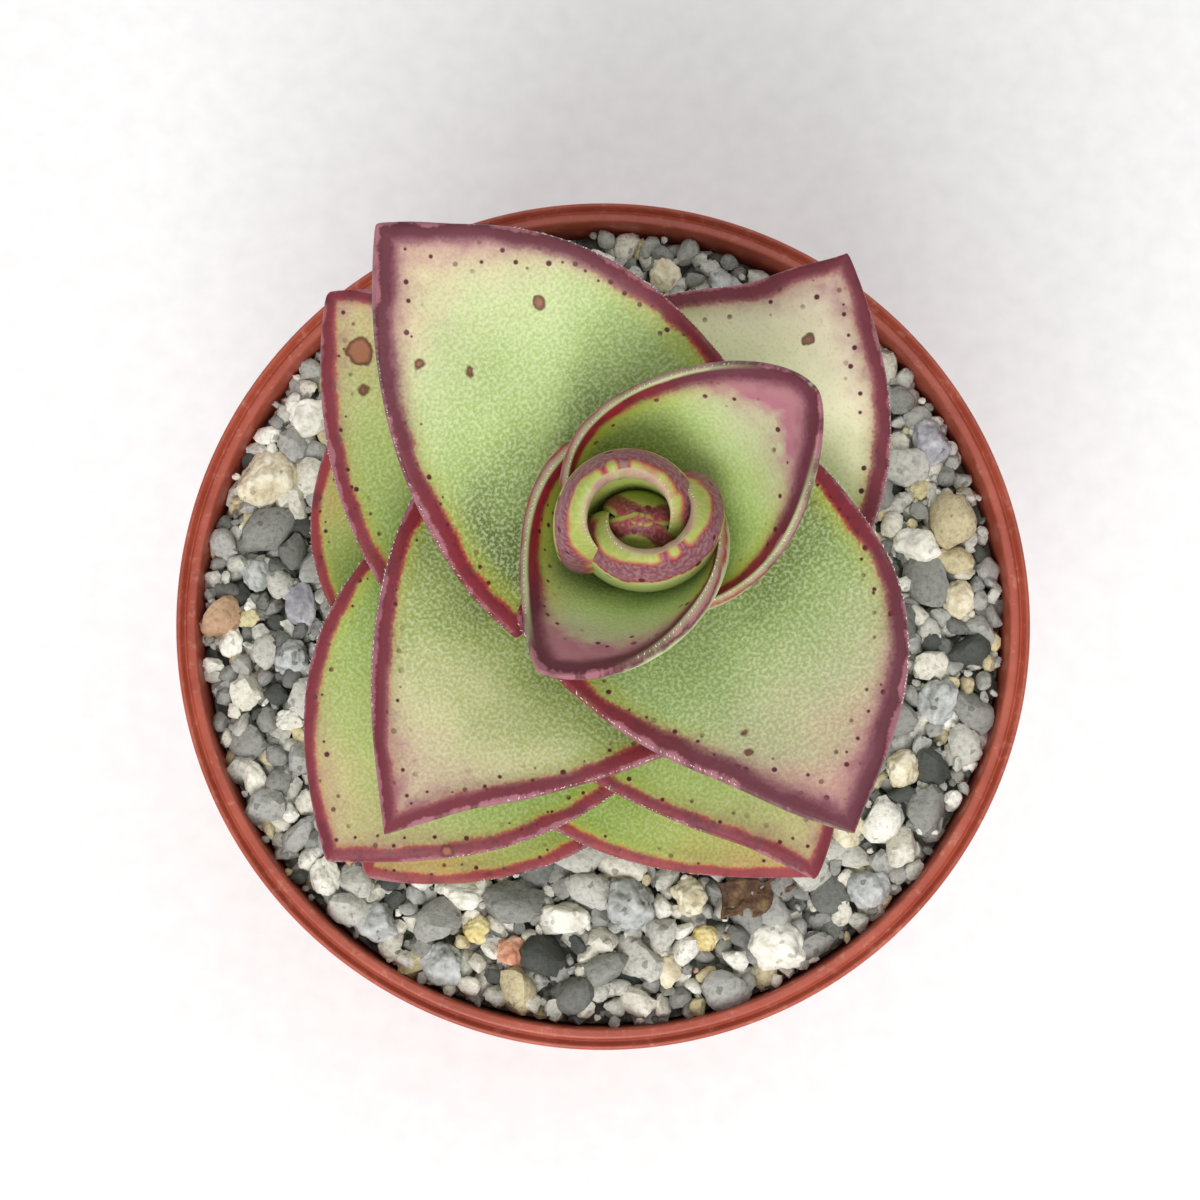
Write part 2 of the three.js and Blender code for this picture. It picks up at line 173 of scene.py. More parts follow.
def make_piece(name, points, faces, material, layers=None, flat=None):
    """A smooth mesh of these points (mm) and faces, with float layers per point and a flat map in mm."""
    mesh = bpy.data.meshes.new(name)
    mesh.from_pydata(np.asarray(points, float).reshape(-1, 3) * mm, [], faces)
    mesh.shade_smooth()
    for layer, values in (layers or {}).items():
        values = np.asarray(values, np.float32)
        wide = values.ndim == 2
        data = mesh.attributes.new(layer, "FLOAT_COLOR" if wide else "FLOAT", "POINT").data
        data.foreach_set("color" if wide else "value", values.ravel())
    if flat is not None:
        corner = np.zeros(len(mesh.loops), np.int32)
        mesh.loops.foreach_get("vertex_index", corner)
        mesh.uv_layers.new(name="flat").data.foreach_set("uv", np.float32(flat)[corner].ravel())
    mesh.materials.append(material)
    piece = bpy.data.objects.new(name, mesh)
    scene.collection.objects.link(piece)
    return piece


def place_piece(piece, slot, *nodes):
    """Puts a piece under the root body and hides the CAD nodes it stands for. slot is not used."""
    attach(piece, "root")
    if nodes:
        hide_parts(*nodes)


def ripple(points, size, seed, waves=14):
    """Smooth random bumps about `size` across, roughly -1 to 1: sines along random lines, added up."""
    rng = np.random.default_rng(seed)
    lines = rng.normal(size=(3, waves))
    lines *= 2 * np.pi / size * rng.uniform(0.6, 1.5, waves) / np.linalg.norm(lines, axis=0)
    return np.sin(points @ lines + rng.uniform(0, 2 * np.pi, waves)).sum(-1) / math.sqrt(waves)


print("faces of a small skin:", len(skin_faces(3, 8)))

# %% [markdown]
# ## The leaves
# Succulent leaves store water, so they are thick, with a rounded margin and no stalk. The skin is covered
# with tiny bumps that look like frost, and strong light turns the margin crimson, with a purple bloom on
# the youngest. A leaf could be sculpted by hand, but all of them follow one plan: a midrib that leaves the
# stem at an angle and bends, an outline on both sides of it, and a section that curls like a gutter. So one
# formula makes them all, from the same values as the CAD leaves.

# %% Leaf values
GRIT_TOP = 65.0  # mm above the table
GUIDE = np.array([[-4.5, -2.5, 0], [-4.5, -2.0, 30], [3.5, 4.0, 31], [2.9, 0.2, 53]]) + [0, 0, GRIT_TOP]

# share of the stem's curve, compass direction and sweep, length, left and right outline (half width,
# fullness, sharpness), pitch at base and tip, curl radius at base and tip, start, roll, thickness,
# width of the red band, how far the margin rolls in, and the length of its cilia as a share
LEAVES = {
    "a1": (0.950, 78, 0, 6.4, (3.7, 2.4, 0.6), (3.7, 2.4, 0.6),
           (84, 150), (3.3, 5.5), 2.2, 0, 1.2, 1.0, 0.1, 0.2),
    "a2": (0.950, -102, 0, 6.4, (3.7, 2.4, 0.6), (3.7, 2.4, 0.6),
           (84, 150), (3.3, 5.5), 2.2, 0, 1.2, 1.0, 0.1, 0.2),
    "b1": (0.925, 124, 0, 9.8, (9.2, 3.8, 0.62), (9.6, 4.0, 0.6),
           (74, 100), (4.9, 4.5), 3.4, -14, 2.6, 1.5, 1.6, 0.3),
    "b2": (0.925, -48, 0, 8.8, (9.2, 3.8, 0.62), (9.6, 4.0, 0.6),
           (74, 102), (4.8, 4.5), 3.4, -13, 2.6, 1.5, 1.6, 0.3),
    "c1": (0.845, 34, -2, 21, (12.7, 1.6, 0.8), (11.6, 2.1, 1.0),
           (37, 53), (6.4, 14), 1.8, 4, 2.2, 1.6, 0.6, 0.5),
    "c2": (0.845, -120, 1, 19.6, (13.2, 3.0, 0.9), (13.7, 0.7, 0.9),
           (42, 55), (7, 11.6), 2.0, 10, 2.1, 1.8, 0.6, 0.5),
    "d1": (0.735, 129, 2, 34.2, (13.6, 2.6, 1.05), (16.1, 3.4, 1.1),
           (18, 26), (42, 42), 0, 1, 4.0, 1.5, 0.4, 1),
    "d2": (0.735, -53, -2, 32.5, (17, 4.4, 1.3), (12.5, 2.2, 1.1),
           (16, 20), (45, 45), 0, -4, 4.0, 1.4, 0.4, 1),
    "e1": (0.590, 50, 2, 33.5, (16, 2.7, 1.3), (18, 3.4, 1.05),
           (12, 18), (50, 50), 0, 1, 4.2, 1.35, 0.3, 1),
    "e2": (0.590, -129, 3, 31.6, (18.5, 1.7, 1.2), (17.3, 2.1, 1.1),
           (12, 16), (50, 50), 0, -1, 4.2, 1.2, 0.3, 1),
    "f1": (0.440, 132, 2, 34.5, (15.3, 2.6, 0.95), (15, 2.8, 1.0),
           (10, 12), (58, 58), 0, 0, 4.2, 1.15, 0.3, 1),
    "f2": (0.440, -52, -4, 33.5, (15.1, 2.9, 0.92), (14.4, 1.9, 1.2),
           (8, 8), (58, 58), 0, 0, 4.2, 1.1, 0.3, 1),
    "g1": (0.310, -133, 1, 32.8, (15.6, 2.9, 1.13), (16.7, 3.5, 1.06),
           (6, 6), (65, 65), 0, 0, 4.1, 1.1, 0.2, 1),
    "g2": (0.310, 48, 0, 30, (15.5, 2.9, 1.1), (15.5, 3.2, 1.1),
           (6, 6), (65, 65), 0, 0, 4.1, 1.1, 0.2, 1),
    "h1": (0.200, 130, -1, 30, (17.3, 4.0, 0.95), (14, 2.8, 1.0),
           (3, 2), (70, 70), 0, 0, 3.8, 0.9, 0.2, 1),
    "h2": (0.200, -47, 2, 33.9, (15, 2.8, 1.0), (16.1, 2.6, 1.1),
           (2, -6), (70, 70), 0, 0, 3.8, 0.9, 0.2, 1),
    "i1": (0.120, -128, 1, 30, (17, 3.0, 0.95), (14, 2.8, 1.0),
           (3, 4), (70, 70), 0, 0, 3.6, 0.9, 0.2, 1),
    "i2": (0.120, 50, 0, 25, (14, 2.8, 1.0), (14, 2.8, 1.0),
           (3, 0), (70, 70), 0, 0, 3.4, 0.9, 0.2, 1),
}
KEYS = ("node", "turn", "sweep", "length", "left", "right",
        "pitch", "curl", "start", "roll", "thick", "band", "rolled", "hair")
LEAVES = {name: dict(zip(KEYS, values)) for name, values in LEAVES.items()}
# where a margin waves: side (1 left, -1 right), share of the length, width of the wave, depth as a share
WAVES = {"e1": [(1, 0.80, 0.10, 0.16)], "d1": [(-1, 0.9, 0.05, 0.05)], "d2": [(-1, 0.74, 0.14, 0.09)],
         "f2": [(-1, 0.85, 0.08, 0.10)], "e2": [(1, 0.82, 0.08, 0.08)]}
# leaves with a blunt point: the share of the length that its rounding takes
TIP_ROUNDS = {"c1": 0.11, "c2": 0.07}
# scars and big spots: distance to the left of the midrib, distance from the base and radius, in mm
MARKS = {
    "d1": [(1.6, 20.0, 0.42), (-6.6, 20.9, 0.5), (4.7, 23.3, 0.4)],
    "d2": [(-2.4, 20.6, 0.42), (-3.0, 22.2, 0.35)],
    "e1": [(-1.8, 25.7, 0.5)], "f1": [(1.65, 28.7, 1.3), (3.8, 26.1, 0.5)], "g1": [(7.4, 25.0, 0.6)],
}
print(len(LEAVES), "leaves")

# %% [markdown]
# A leaf is thick in the middle and thin at the margin. It bends along its length and curls across it.
# Sculpting would give each leaf its own faults. Here a point comes from two numbers, its share of the
# length and its angle round the section, so a change to one value reshapes a leaf cleanly.

# %% Leaf formula
# shares: of the thickness above the leaf's sheet, of the length that the point's rounding and the neck
# take, and of the width that the neck takes off; then the powers of the section and of its end at the tip
UPPER_SHARE, TIP_ROUND, NECK_LENGTH, NECK = 0.28, 0.015, 0.25, 0.07
SECTION_POWER, TIP_POWER = 0.7, 6
MIDRIB_STEPS, MARGIN_STEPS, UV_STEP = 256, 320, 60.0  # the last in mm, from one leaf's map to the next
ROLL_WIDTH, ROLL_FADE = 2.8, 5  # how far in a margin rolls, in mm, and the power that ends it at the tip
# a ridge inside the margin (height, distance from it, width), a fold along the midrib (depth, width),
# low swells (height, size) and a waving margin (height, size), all in mm
RIDGE, FOLD, SWELL, WAVE = (0.22, 1.0, 0.8), (0.35, 3.2), (0.16, 9), (0.35, 14)
GROWN_LENGTH = 30  # mm from which a leaf shows these in full
UNMARKED = 9.0  # a distance from any scar that shows none


def bezier(points, share):
    """A cubic Bezier curve: its four points weighted by (1-t)^3, 3t(1-t)^2, 3t^2(1-t) and t^3."""
    t = np.atleast_1d(share)[:, None]
    a, b, c, d = points
    return (1 - t) ** 3 * a + 3 * t * (1 - t) ** 2 * b + 3 * t ** 2 * (1 - t) * c + t ** 3 * d


def half_width(leaf, side, share, name):
    """Width * (1 - share^fullness)^sharpness, rounded at the point, with a neck and the margin's waves."""
    width, fullness, sharpness = leaf["left"] if side > 0 else leaf["right"]
    outline = np.clip(1 - share ** fullness, 0, 1) ** sharpness
    rounding = np.sqrt(1 + TIP_ROUNDS.get(name, TIP_ROUND) / np.maximum(1 - share, 0.001))
    neck = 1 - NECK * np.maximum(0, 1 - share / NECK_LENGTH) ** 2
    waves = 1.0
    for which, place, spread, depth in WAVES.get(name, []):
        if which == side:
            waves = waves - depth * np.exp(-((share - place) / spread) ** 2)
    return width * outline * rounding * neck * waves


def leaf_frames(leaf, origin, share):
    """Midrib points and the leaf's side and up directions: the heading turns evenly from base to tip."""
    def heading(s):
        turn = np.radians(leaf["turn"] + leaf["sweep"] * s)
        pitch = np.radians(leaf["pitch"][0] + (leaf["pitch"][1] - leaf["pitch"][0]) * s)
        flat = np.cos(pitch)
        return turn, np.stack([flat * np.cos(turn), flat * np.sin(turn), np.sin(pitch)], -1)
    turn, ahead = heading((np.arange(MIDRIB_STEPS) + 0.5) / MIDRIB_STEPS)
    walk = np.vstack([np.zeros(3), np.cumsum(ahead, 0)]) * leaf["length"] / MIDRIB_STEPS
    stops = np.linspace(0, 1, MIDRIB_STEPS + 1)
    centre = np.stack([np.interp(share, stops, walk[:, i]) for i in range(3)], -1)
    first = np.radians(leaf["turn"])
    centre += origin + leaf["start"] * np.array([np.cos(first), np.sin(first), 0])
    turn, ahead = heading(share)
    side = np.stack([-np.sin(turn), np.cos(turn), np.zeros_like(turn)], -1)
    up, roll = np.cross(ahead, side), np.radians(leaf["roll"])
    return centre, side * np.cos(roll) + up * np.sin(roll), up * np.cos(roll) - side * np.sin(roll)


def leaf_skin(name, leaf, origin, stations, around):
    """Points of a leaf, its flat map and its layers. At share s and angle a of the section, the point lies
    halfwidth*cos(a) across and thickness*|sin(a)|^0.7 off the leaf's sheet, which curls to a radius."""
    share = np.sin(np.linspace(0, np.pi / 2, stations + 1)[:-1]) ** 0.9
    angle = 2 * np.pi * np.arange(around) / around
    centre, side, up = (v[:, None] for v in leaf_frames(leaf, origin, share))
    left, right = (half_width(leaf, s, share, name)[:, None] for s in (1, -1))
    reach = np.where(np.cos(angle) >= 0, left, right) * np.cos(angle)
    rise = np.abs(np.sin(angle)) ** SECTION_POWER * np.sqrt(1 - share[:, None] ** TIP_POWER)
    top = np.sin(angle) >= 0
    depth = np.where(top, UPPER_SHARE, UPPER_SHARE - 1) * leaf["thick"] * rise
    flat = np.stack([reach, np.broadcast_to(share[:, None] * leaf["length"], reach.shape)], -1)

    # distance from the margin, in mm on the flat leaf
    s = np.linspace(0, 1, MARGIN_STEPS)
    edge = [np.stack([k * half_width(leaf, k, s, name), s * leaf["length"]], -1) for k in (1, -1)]
    edge = np.concatenate(edge)
    inset = np.sqrt(((flat.reshape(-1, 1, 2) - edge) ** 2).sum(-1).min(1)).reshape(reach.shape)

    # a raised margin, a soft fold along the midrib and slow swells
    seed = sum(map(ord, name))
    grown = min(1.0, leaf["length"] / GROWN_LENGTH)
    spot = np.dstack([flat, 0 * reach])
    lift = RIDGE[0] * np.exp(-((inset - RIDGE[1]) / RIDGE[2]) ** 2)
    lift -= FOLD[0] * np.exp(-(reach / FOLD[1]) ** 2) * share[:, None] ** 0.5
    lift += SWELL[0] * ripple(spot, SWELL[1], seed)
    depth = depth + np.where(top, lift * grown * rise, 0)
    rolled = leaf["rolled"] * (1 - share[:, None] ** ROLL_FADE)
    depth = depth + rolled * np.clip(1 - inset / ROLL_WIDTH, 0, 1) ** 2
    wander = WAVE[0] * grown * ripple(spot, WAVE[1], seed + 1)
    depth = depth + wander * (reach / np.maximum(left, right)) ** 2 * share[:, None]
    curl = leaf["curl"][0] + (leaf["curl"][1] - leaf["curl"][0]) * (1 - (1 - share[:, None]) ** 2)
    arm, bend = (curl - depth)[..., None], (reach / curl)[..., None]
    points = centre + side * arm * np.sin(bend) + up * (curl[..., None] - arm * np.cos(bend))
    tip = leaf_frames(leaf, origin, np.array([1.0]))[0]
    marks = np.full(inset.shape, UNMARKED)
    for across, length, radius in MARKS.get(name, []):
        marks = np.minimum(marks, np.hypot(flat[..., 0] - across, flat[..., 1] - length) - radius)
    marks = np.where(top, marks, UNMARKED)
    layers = {
        "inset": np.append(inset, 0) / leaf["band"],
        "mark": np.append(marks, UNMARKED),
        "along": np.append(np.broadcast_to(share[:, None], reach.shape), 1),
        "top": np.append(np.broadcast_to(np.clip(0.5 + 2.5 * np.sin(angle), 0, 1), reach.shape), 1),
    }
    flat = np.vstack([flat.reshape(-1, 2), [0, leaf["length"]]]) + [UV_STEP * (seed % 40), 0]
    return points, np.vstack([points.reshape(-1, 3), tip]), flat, layers


print("stem top at, mm:", bezier(GUIDE, 1.0).round(1).tolist())

# %% [markdown]
# The skin's finish starts from the leaf's green. Its base is painted dark, as painted shade from the leaves
# above where little light falls, and it is pale towards the tip. Over it lie, in turn: the frosting of tiny
# bumps, a pink flush, dark dots in rows inside the margin, and the band itself. The band is crimson and ends
# in a yellow line near the base. Near the tip it is dusky purple and fades out softly. The distance to the
# margin is a layer on the mesh, so the band follows the leaf's own outline.

# %% Leaf finish
def leaf_finish(name, deep, green, pale_green, cream, under, red, purple, fire, flush, frost,
                outside=None, edge=None):
    """deep, the dark green at the base, is painted shade; green, pale_green and cream run on to the tip, and
    under is the underside. red is the band's colour near the base, purple how far its bloom goes, fire how
    strong the orange line along it is, flush how pink the tip is and frost how strong the grain is. outside
    gives the stripes of a leaf that shows its back, margin first, in place of the narrow band of the others.
    edge is the colour and width, in bands, of a pale line outside the band.
    width, in bands, of a pale line outside the band."""
    material, tree = new_material(name)
    flat = add_node(tree, "TexCoord", out="UV")
    inset = add_node(tree, "Attribute", out="Fac", attribute_name="inset")
    along = add_node(tree, "Attribute", out="Fac", attribute_name="along")
    top = add_node(tree, "Attribute", out="Fac", attribute_name="top")
    # patterns in mm: slow patches 7 mm, wandering 1.6 mm, frosting 0.3 mm, dots every 1.5 mm
    patches = add_node(tree, "TexNoise", {"Vector": flat, "Scale": 1 / 7, "Detail": 3})
    wander = add_node(tree, "TexNoise", {"Vector": flat, "Scale": 1 / 1.6, "Detail": 3})
    grain = add_node(tree, "TexNoise", {"Vector": flat, "Scale": 1 / 0.3, "Detail": 1})
    bumps = add_node(tree, "TexVoronoi", {"Vector": flat, "Scale": 1 / 0.34}, feature="SMOOTH_F1")
    spots = add_node(tree, "TexVoronoi", {"Vector": flat, "Scale": 1 / 1.5}, voronoi_dimensions="2D")

    # flesh from base to tip, shifted by slow patches; its deep base colour is painted shade
    shift = add_node(tree, "Math", {0: patches, 1: 0.35, 2: -0.05}, operation="MULTIPLY_ADD")
    shift = add_node(tree, "Math", {0: along, 1: 0.8, 2: shift}, operation="MULTIPLY_ADD")
    flesh = add_node(tree, "ValToRGB", {"Fac": shift}, stops=[
        (0.28, colour(deep)), (0.48, colour(green)), (0.67, colour(pale_green)), (0.83, colour(cream))])
    light = add_node(tree, "MapRange", {"Value": grain, "From Min": 0.42, "From Max": 0.66, "To Max": frost})
    flesh = add_node(tree, "Mix", {"Factor": light, UNDER: flesh, OVER: colour("#e9edc8")}, **BLEND)
    dark = add_node(tree, "MapRange", {"Value": grain, "From Min": 0.45, "From Max": 0.3,
                                       "To Max": frost / 2})
    flesh = add_node(tree, "Mix", {"Factor": dark, UNDER: flesh, OVER: colour("#75894a")}, **BLEND)

    # pink flush inside the band towards the tip
    near = add_node(tree, "MapRange", {"Value": inset, "From Min": 3.2, "From Max": 0.8},
                    interpolation_type="SMOOTHSTEP")
    outer = add_node(tree, "MapRange", {"Value": along, "From Min": 0.5, "From Max": 0.95, "To Max": flush},
                     interpolation_type="SMOOTHSTEP")
    pink = add_node(tree, "Math", {0: near, 1: outer}, operation="MULTIPLY")
    end = add_node(tree, "MapRange", {"Value": along, "From Min": 0.55 - 0.05 * flush,
                                      "From Max": 0.92, "To Max": flush / 2},
                   interpolation_type="SMOOTHSTEP")
    pink = add_node(tree, "Math", {0: pink, 1: end}, operation="ADD")
    pink = add_node(tree, "Math", {0: pink, 1: wander}, operation="MULTIPLY", use_clamp=True)
    flesh = add_node(tree, "Mix", {"Factor": pink, UNDER: flesh, OVER: colour("#a86c79")}, **BLEND)

    # lime glow beside the band near the base
    glow = add_node(tree, "MapRange", {"Value": inset, "From Min": 2.6, "From Max": 1.1},
                    interpolation_type="SMOOTHSTEP")
    inner = add_node(tree, "MapRange", {"Value": along, "From Min": 0.75, "From Max": 0.2,
                                        "To Max": 0.25 + 0.6 * fire})
    glow = add_node(tree, "Math", {0: glow, 1: inner}, operation="MULTIPLY")
    flesh = add_node(tree, "Mix", {"Factor": glow, UNDER: flesh, OVER: colour("#b9c044")}, **BLEND)

    # dark dots in a strip that straddles the band's inner edge, and now and then further in
    size = add_node(tree, "SeparateColor", {"Color": spots.node.outputs["Color"]}, out="Green")
    reach = add_node(tree, "Math", {0: size, 1: 0.14, 2: spots}, operation="MULTIPLY_ADD")
    dot = add_node(tree, "MapRange", {"Value": reach, "From Min": 0.24, "From Max": 0.17})
    pull = add_node(tree, "Math", {0: outer, 1: -0.1, 2: 0.25}, operation="MULTIPLY_ADD")
    pulled = add_node(tree, "Math", {0: inset, 1: pull}, operation="MULTIPLY")
    strip = add_node(tree, "ValToRGB", {"Fac": pulled}, stops=[
        (0.12, colour("#000000")), (0.2, colour("#ffffff")), (0.38, colour("#ffffff")),
        (0.54, colour("#000000"))])
    dot = add_node(tree, "Math", {0: dot, 1: strip}, operation="MULTIPLY")
    some = add_node(tree, "MapRange", {"Value": spots.node.outputs["Color"], "From Min": 0.3,
                                       "From Max": 0.38})
    dot = add_node(tree, "Math", {0: dot, 1: some}, operation="MULTIPLY")

    # the band: its inner edge wanders, and so does its strength
    ragged = add_node(tree, "Math", {0: wander, 1: 0.5, 2: inset}, operation="MULTIPLY_ADD")
    ragged = add_node(tree, "Math", {0: grain, 1: 0.25, 2: ragged}, operation="MULTIPLY_ADD")
    ragged = add_node(tree, "Math", {0: patches, 1: 1.4, 2: ragged}, operation="MULTIPLY_ADD")
    ragged = add_node(tree, "Math", {0: ragged, 1: 1.075}, operation="SUBTRACT")
    place = add_node(tree, "Math", {0: ragged, 1: 0.4}, operation="MULTIPLY")
    # the first stop of both ramps, a pale pink line on the very margin, is a painted highlight on its
    # rounded edge
    crimson = add_node(tree, "ValToRGB", {"Fac": place}, stops=[
        (0.0, colour("#98606a")), (0.05, colour(red)), (0.30, colour(red)), (0.38, colour("#a83a38", 0.9)),
        (0.45, colour("#bf8040", 0.65 * fire)), (0.58, colour("#b9b455", 0.0))])
    dusky = add_node(tree, "ValToRGB", {"Fac": place}, stops=[
        (0.0, colour("#98606a")), (0.05, colour("#5a2730")), (0.25, colour("#66323f")),
        (0.38, colour("#82505a", 0.85)), (0.52, colour("#a5797a", 0.45)), (0.8, colour("#b9a08a", 0.0))])
    blotch = add_node(tree, "MapRange", {"Value": wander, "From Min": 0.5, "From Max": 0.68, "To Max": 0.6})
    bloom = add_node(tree, "MapRange", {"Value": along, "From Min": 0.25, "From Max": 0.7, "To Max": purple},
                     interpolation_type="SMOOTHSTEP")
    band = add_node(tree, "Mix", {"Factor": bloom, UNDER: crimson, OVER: dusky}, **BLEND)
    band = add_node(tree, "Mix", {"Factor": blotch, UNDER: band, OVER: colour("#5a2230")}, **BLEND)
    cover = add_node(tree, "Mix", {"Factor": bloom, 2: crimson.node.outputs["Alpha"],
                                   3: dusky.node.outputs["Alpha"]})
    upper = flesh
    if not outside:
        upper = add_node(tree, "Mix", {"Factor": cover, UNDER: flesh, OVER: band}, **BLEND)
    if edge:
        pale, wide = edge
        line = add_node(tree, "MapRange", {"Value": inset, "From Min": wide + 0.08, "From Max": wide - 0.08})
        fade = add_node(tree, "MapRange", {"Value": along, "From Min": 0.9, "From Max": 0.6})
        line = add_node(tree, "Math", {0: line, 1: fade}, operation="MULTIPLY")
        upper = add_node(tree, "Mix", {"Factor": line, UNDER: upper, OVER: colour(pale)}, **BLEND)
    upper = add_node(tree, "Mix", {"Factor": dot, UNDER: upper, OVER: colour("#5a2028")}, **BLEND)
    mark = add_node(tree, "Attribute", out="Fac", attribute_name="mark")
    mark = add_node(tree, "Math", {0: wander, 1: 1.4, 2: mark}, operation="MULTIPLY_ADD")
    mark = add_node(tree, "Math", {0: mark, 1: 0.7}, operation="SUBTRACT")
    scar = add_node(tree, "MapRange", {"Value": mark, "From Min": 0.12, "From Max": -0.08, "To Max": 0.9})
    heart = add_node(tree, "MapRange", {"Value": mark, "From Min": -0.2, "From Max": -0.5, "To Max": 0.8})
    crust = add_node(tree, "Mix", {"Factor": heart, UNDER: colour("#5f2a20"), OVER: colour("#a8644c")},
                     **BLEND)
    upper = add_node(tree, "Mix", {"Factor": scar, UNDER: upper, OVER: crust}, **BLEND)

    # the underside: paler, with bloom, and only a narrow line of the band
    lower = add_node(tree, "Mix", {"Factor": light, UNDER: colour(under), OVER: colour("#d5dcba")}, **BLEND)
    if outside:
        stripes = [(at, colour(tone)) for at, tone in outside]
        lower = add_node(tree, "ValToRGB", {"Fac": place}, stops=stripes)
        lower = add_node(tree, "Mix", {"Factor": light, UNDER: lower, OVER: colour("#d5dcba")}, **BLEND)
        lower = add_node(tree, "Mix", {"Factor": dot, UNDER: lower, OVER: colour("#5a2028")}, **BLEND)
    else:
        thin = add_node(tree, "MapRange", {"Value": ragged, "From Min": 0.55, "From Max": 0.1},
                        interpolation_type="SMOOTHSTEP")
        lower = add_node(tree, "Mix", {"Factor": thin, UNDER: lower, OVER: band}, **BLEND)
    skin = add_node(tree, "Mix", {"Factor": top, UNDER: lower, OVER: upper}, **BLEND)

    height = add_node(tree, "Math", {0: grain, 1: bumps}, operation="SUBTRACT")
    normal = add_node(tree, "Bump", {"Height": height, "Strength": 0.35, "Distance": 0.06 * mm})
    gloss = add_node(tree, "MapRange", {"Value": grain, "From Min": 0.3, "From Max": 0.7, "To Min": 0.42,
                                        "To Max": 0.58})
    finish_with(tree, Base_Color=skin, Roughness=gloss, Normal=normal, IOR=1.42, Specular_IOR_Level=0.4,
                Subsurface_Weight=0.18, Subsurface_Radius=(0.6, 1.0, 0.25), Subsurface_Scale=1.2 * mm)
    return material


# the bud's two pairs show their backs: stripes from the margin inwards, where 0.4 is one band's width
BUD_STRIPES = [(0.0, "#8f9440"), (0.06, "#8a7634"), (0.1, "#843236"), (0.46, "#6e2a34"), (0.54, "#83443a"),
               (0.6, "#8c9040"), (1.0, "#7f8a34")]
YOUNG_STRIPES = [(0.0, "#97a34c"), (0.08, "#a3a650"), (0.13, "#a85c40"), (0.17, "#8c3040"),
                 (0.22, "#7c4352"), (0.50, "#865260"), (0.57, "#9a2f3a"), (0.63, "#b4b974"),
                 (0.75, "#a9b76e")]
SKINS = {
    "a": leaf_finish("bud_skin", "#59681f", "#7f8a30", "#8f9640", "#a0a050", "#7f8a38", "#7a2a34",
                     0.1, 1.0, 0.2, 0.1, BUD_STRIPES),
    "b": leaf_finish("young_skin", "#93a748", "#a6b650", "#a9b95c", "#b3bf78", "#a0ae62", "#842c38",
                     0.7, 1.0, 0.8, 0.15, YOUNG_STRIPES),
    "c": leaf_finish("half_grown_skin", "#7a9038", "#a6bd6c", "#b6cd92", "#bdbb9c", "#c0cb9c", "#9a2434",
                     1.0, 0.9, 2.8, 0.22, None, ("#b0bf8a", 0.16)),
    # d2 and e2 are darker copies as painted shade, e1 a lighter one as painted light; d2 also has more pink
    # flush
    "d1": leaf_finish("grown_skin", "#56672c", "#9cb268", "#bccb90", "#e2d0a8", "#adb985", "#7c2430",
                      0.95, 0.3, 1.0, 0.34),
    "d2": leaf_finish("flushed_painted_shade_skin", "#5f7232", "#8ba05e", "#adb284", "#d2ac90", "#adb985", "#7c2430",
                      0.95, 0.3, 1.2, 0.34),
    "e1": leaf_finish("sunlit_skin", "#8d9c54", "#c6cf90", "#ebebc2", "#efe6c6", "#adb985", "#80242f",
                      0.6, 0.25, 1.0, 0.3),
    "e2": leaf_finish("painted_shade_skin", "#526428", "#8f9d54", "#c0c08c", "#c6b694", "#adb985", "#80242f",
                      0.6, 0.25, 1.0, 0.35),
    "f": leaf_finish("old_skin", "#5f7a32", "#8aa34c", "#a8b866", "#bfb878", "#a3ae66", "#862d36",
                     0.35, 0.6, 0.7, 0.28),
    "h": leaf_finish("shaded_skin", "#6a8434", "#8aa346", "#a5b25a", "#c4a858", "#a8ac5c", "#96393c",
                     0.1, 1.0, 0.4, 0.25),
}
# the upper grown leaves, d and e, have a finish each, and the other leaves share theirs
FINISH_OF = dict(a="a", b="b", c="c", f="f", g="f", h="h", i="h")
print(len(SKINS), "leaf finishes")

# %% [markdown]
# The margins carry cilia: stiff white hairs about half a millimetre long, close together on the inner two
# thirds and worn away near the tip. Each is a cone of a few faces, set on the margin and pointing outwards.

# %% Build the leaves
def cilia_finish():
    """Dead, air-filled hairs: off-white and matt."""
    material, tree = new_material("cilia_white")
    spot = add_node(tree, "TexCoord", out="Object")
    tone = add_node(tree, "TexNoise", {"Vector": spot, "Scale": 1 / (2 * mm)})
    shade = add_node(tree, "ValToRGB", {"Fac": tone}, stops=[
        (0.35, colour("#d8cfc8")), (0.65, colour("#fbf8f0"))])
    finish_with(tree, Base_Color=shade, Roughness=0.6, IOR=1.45)
    return material


HAIR_STEP, HAIR_LENGTH, HAIR_START, HAIR_END = 0.42, (0.2, 0.6), 0.03, 0.72  # mm, mm, shares of a margin


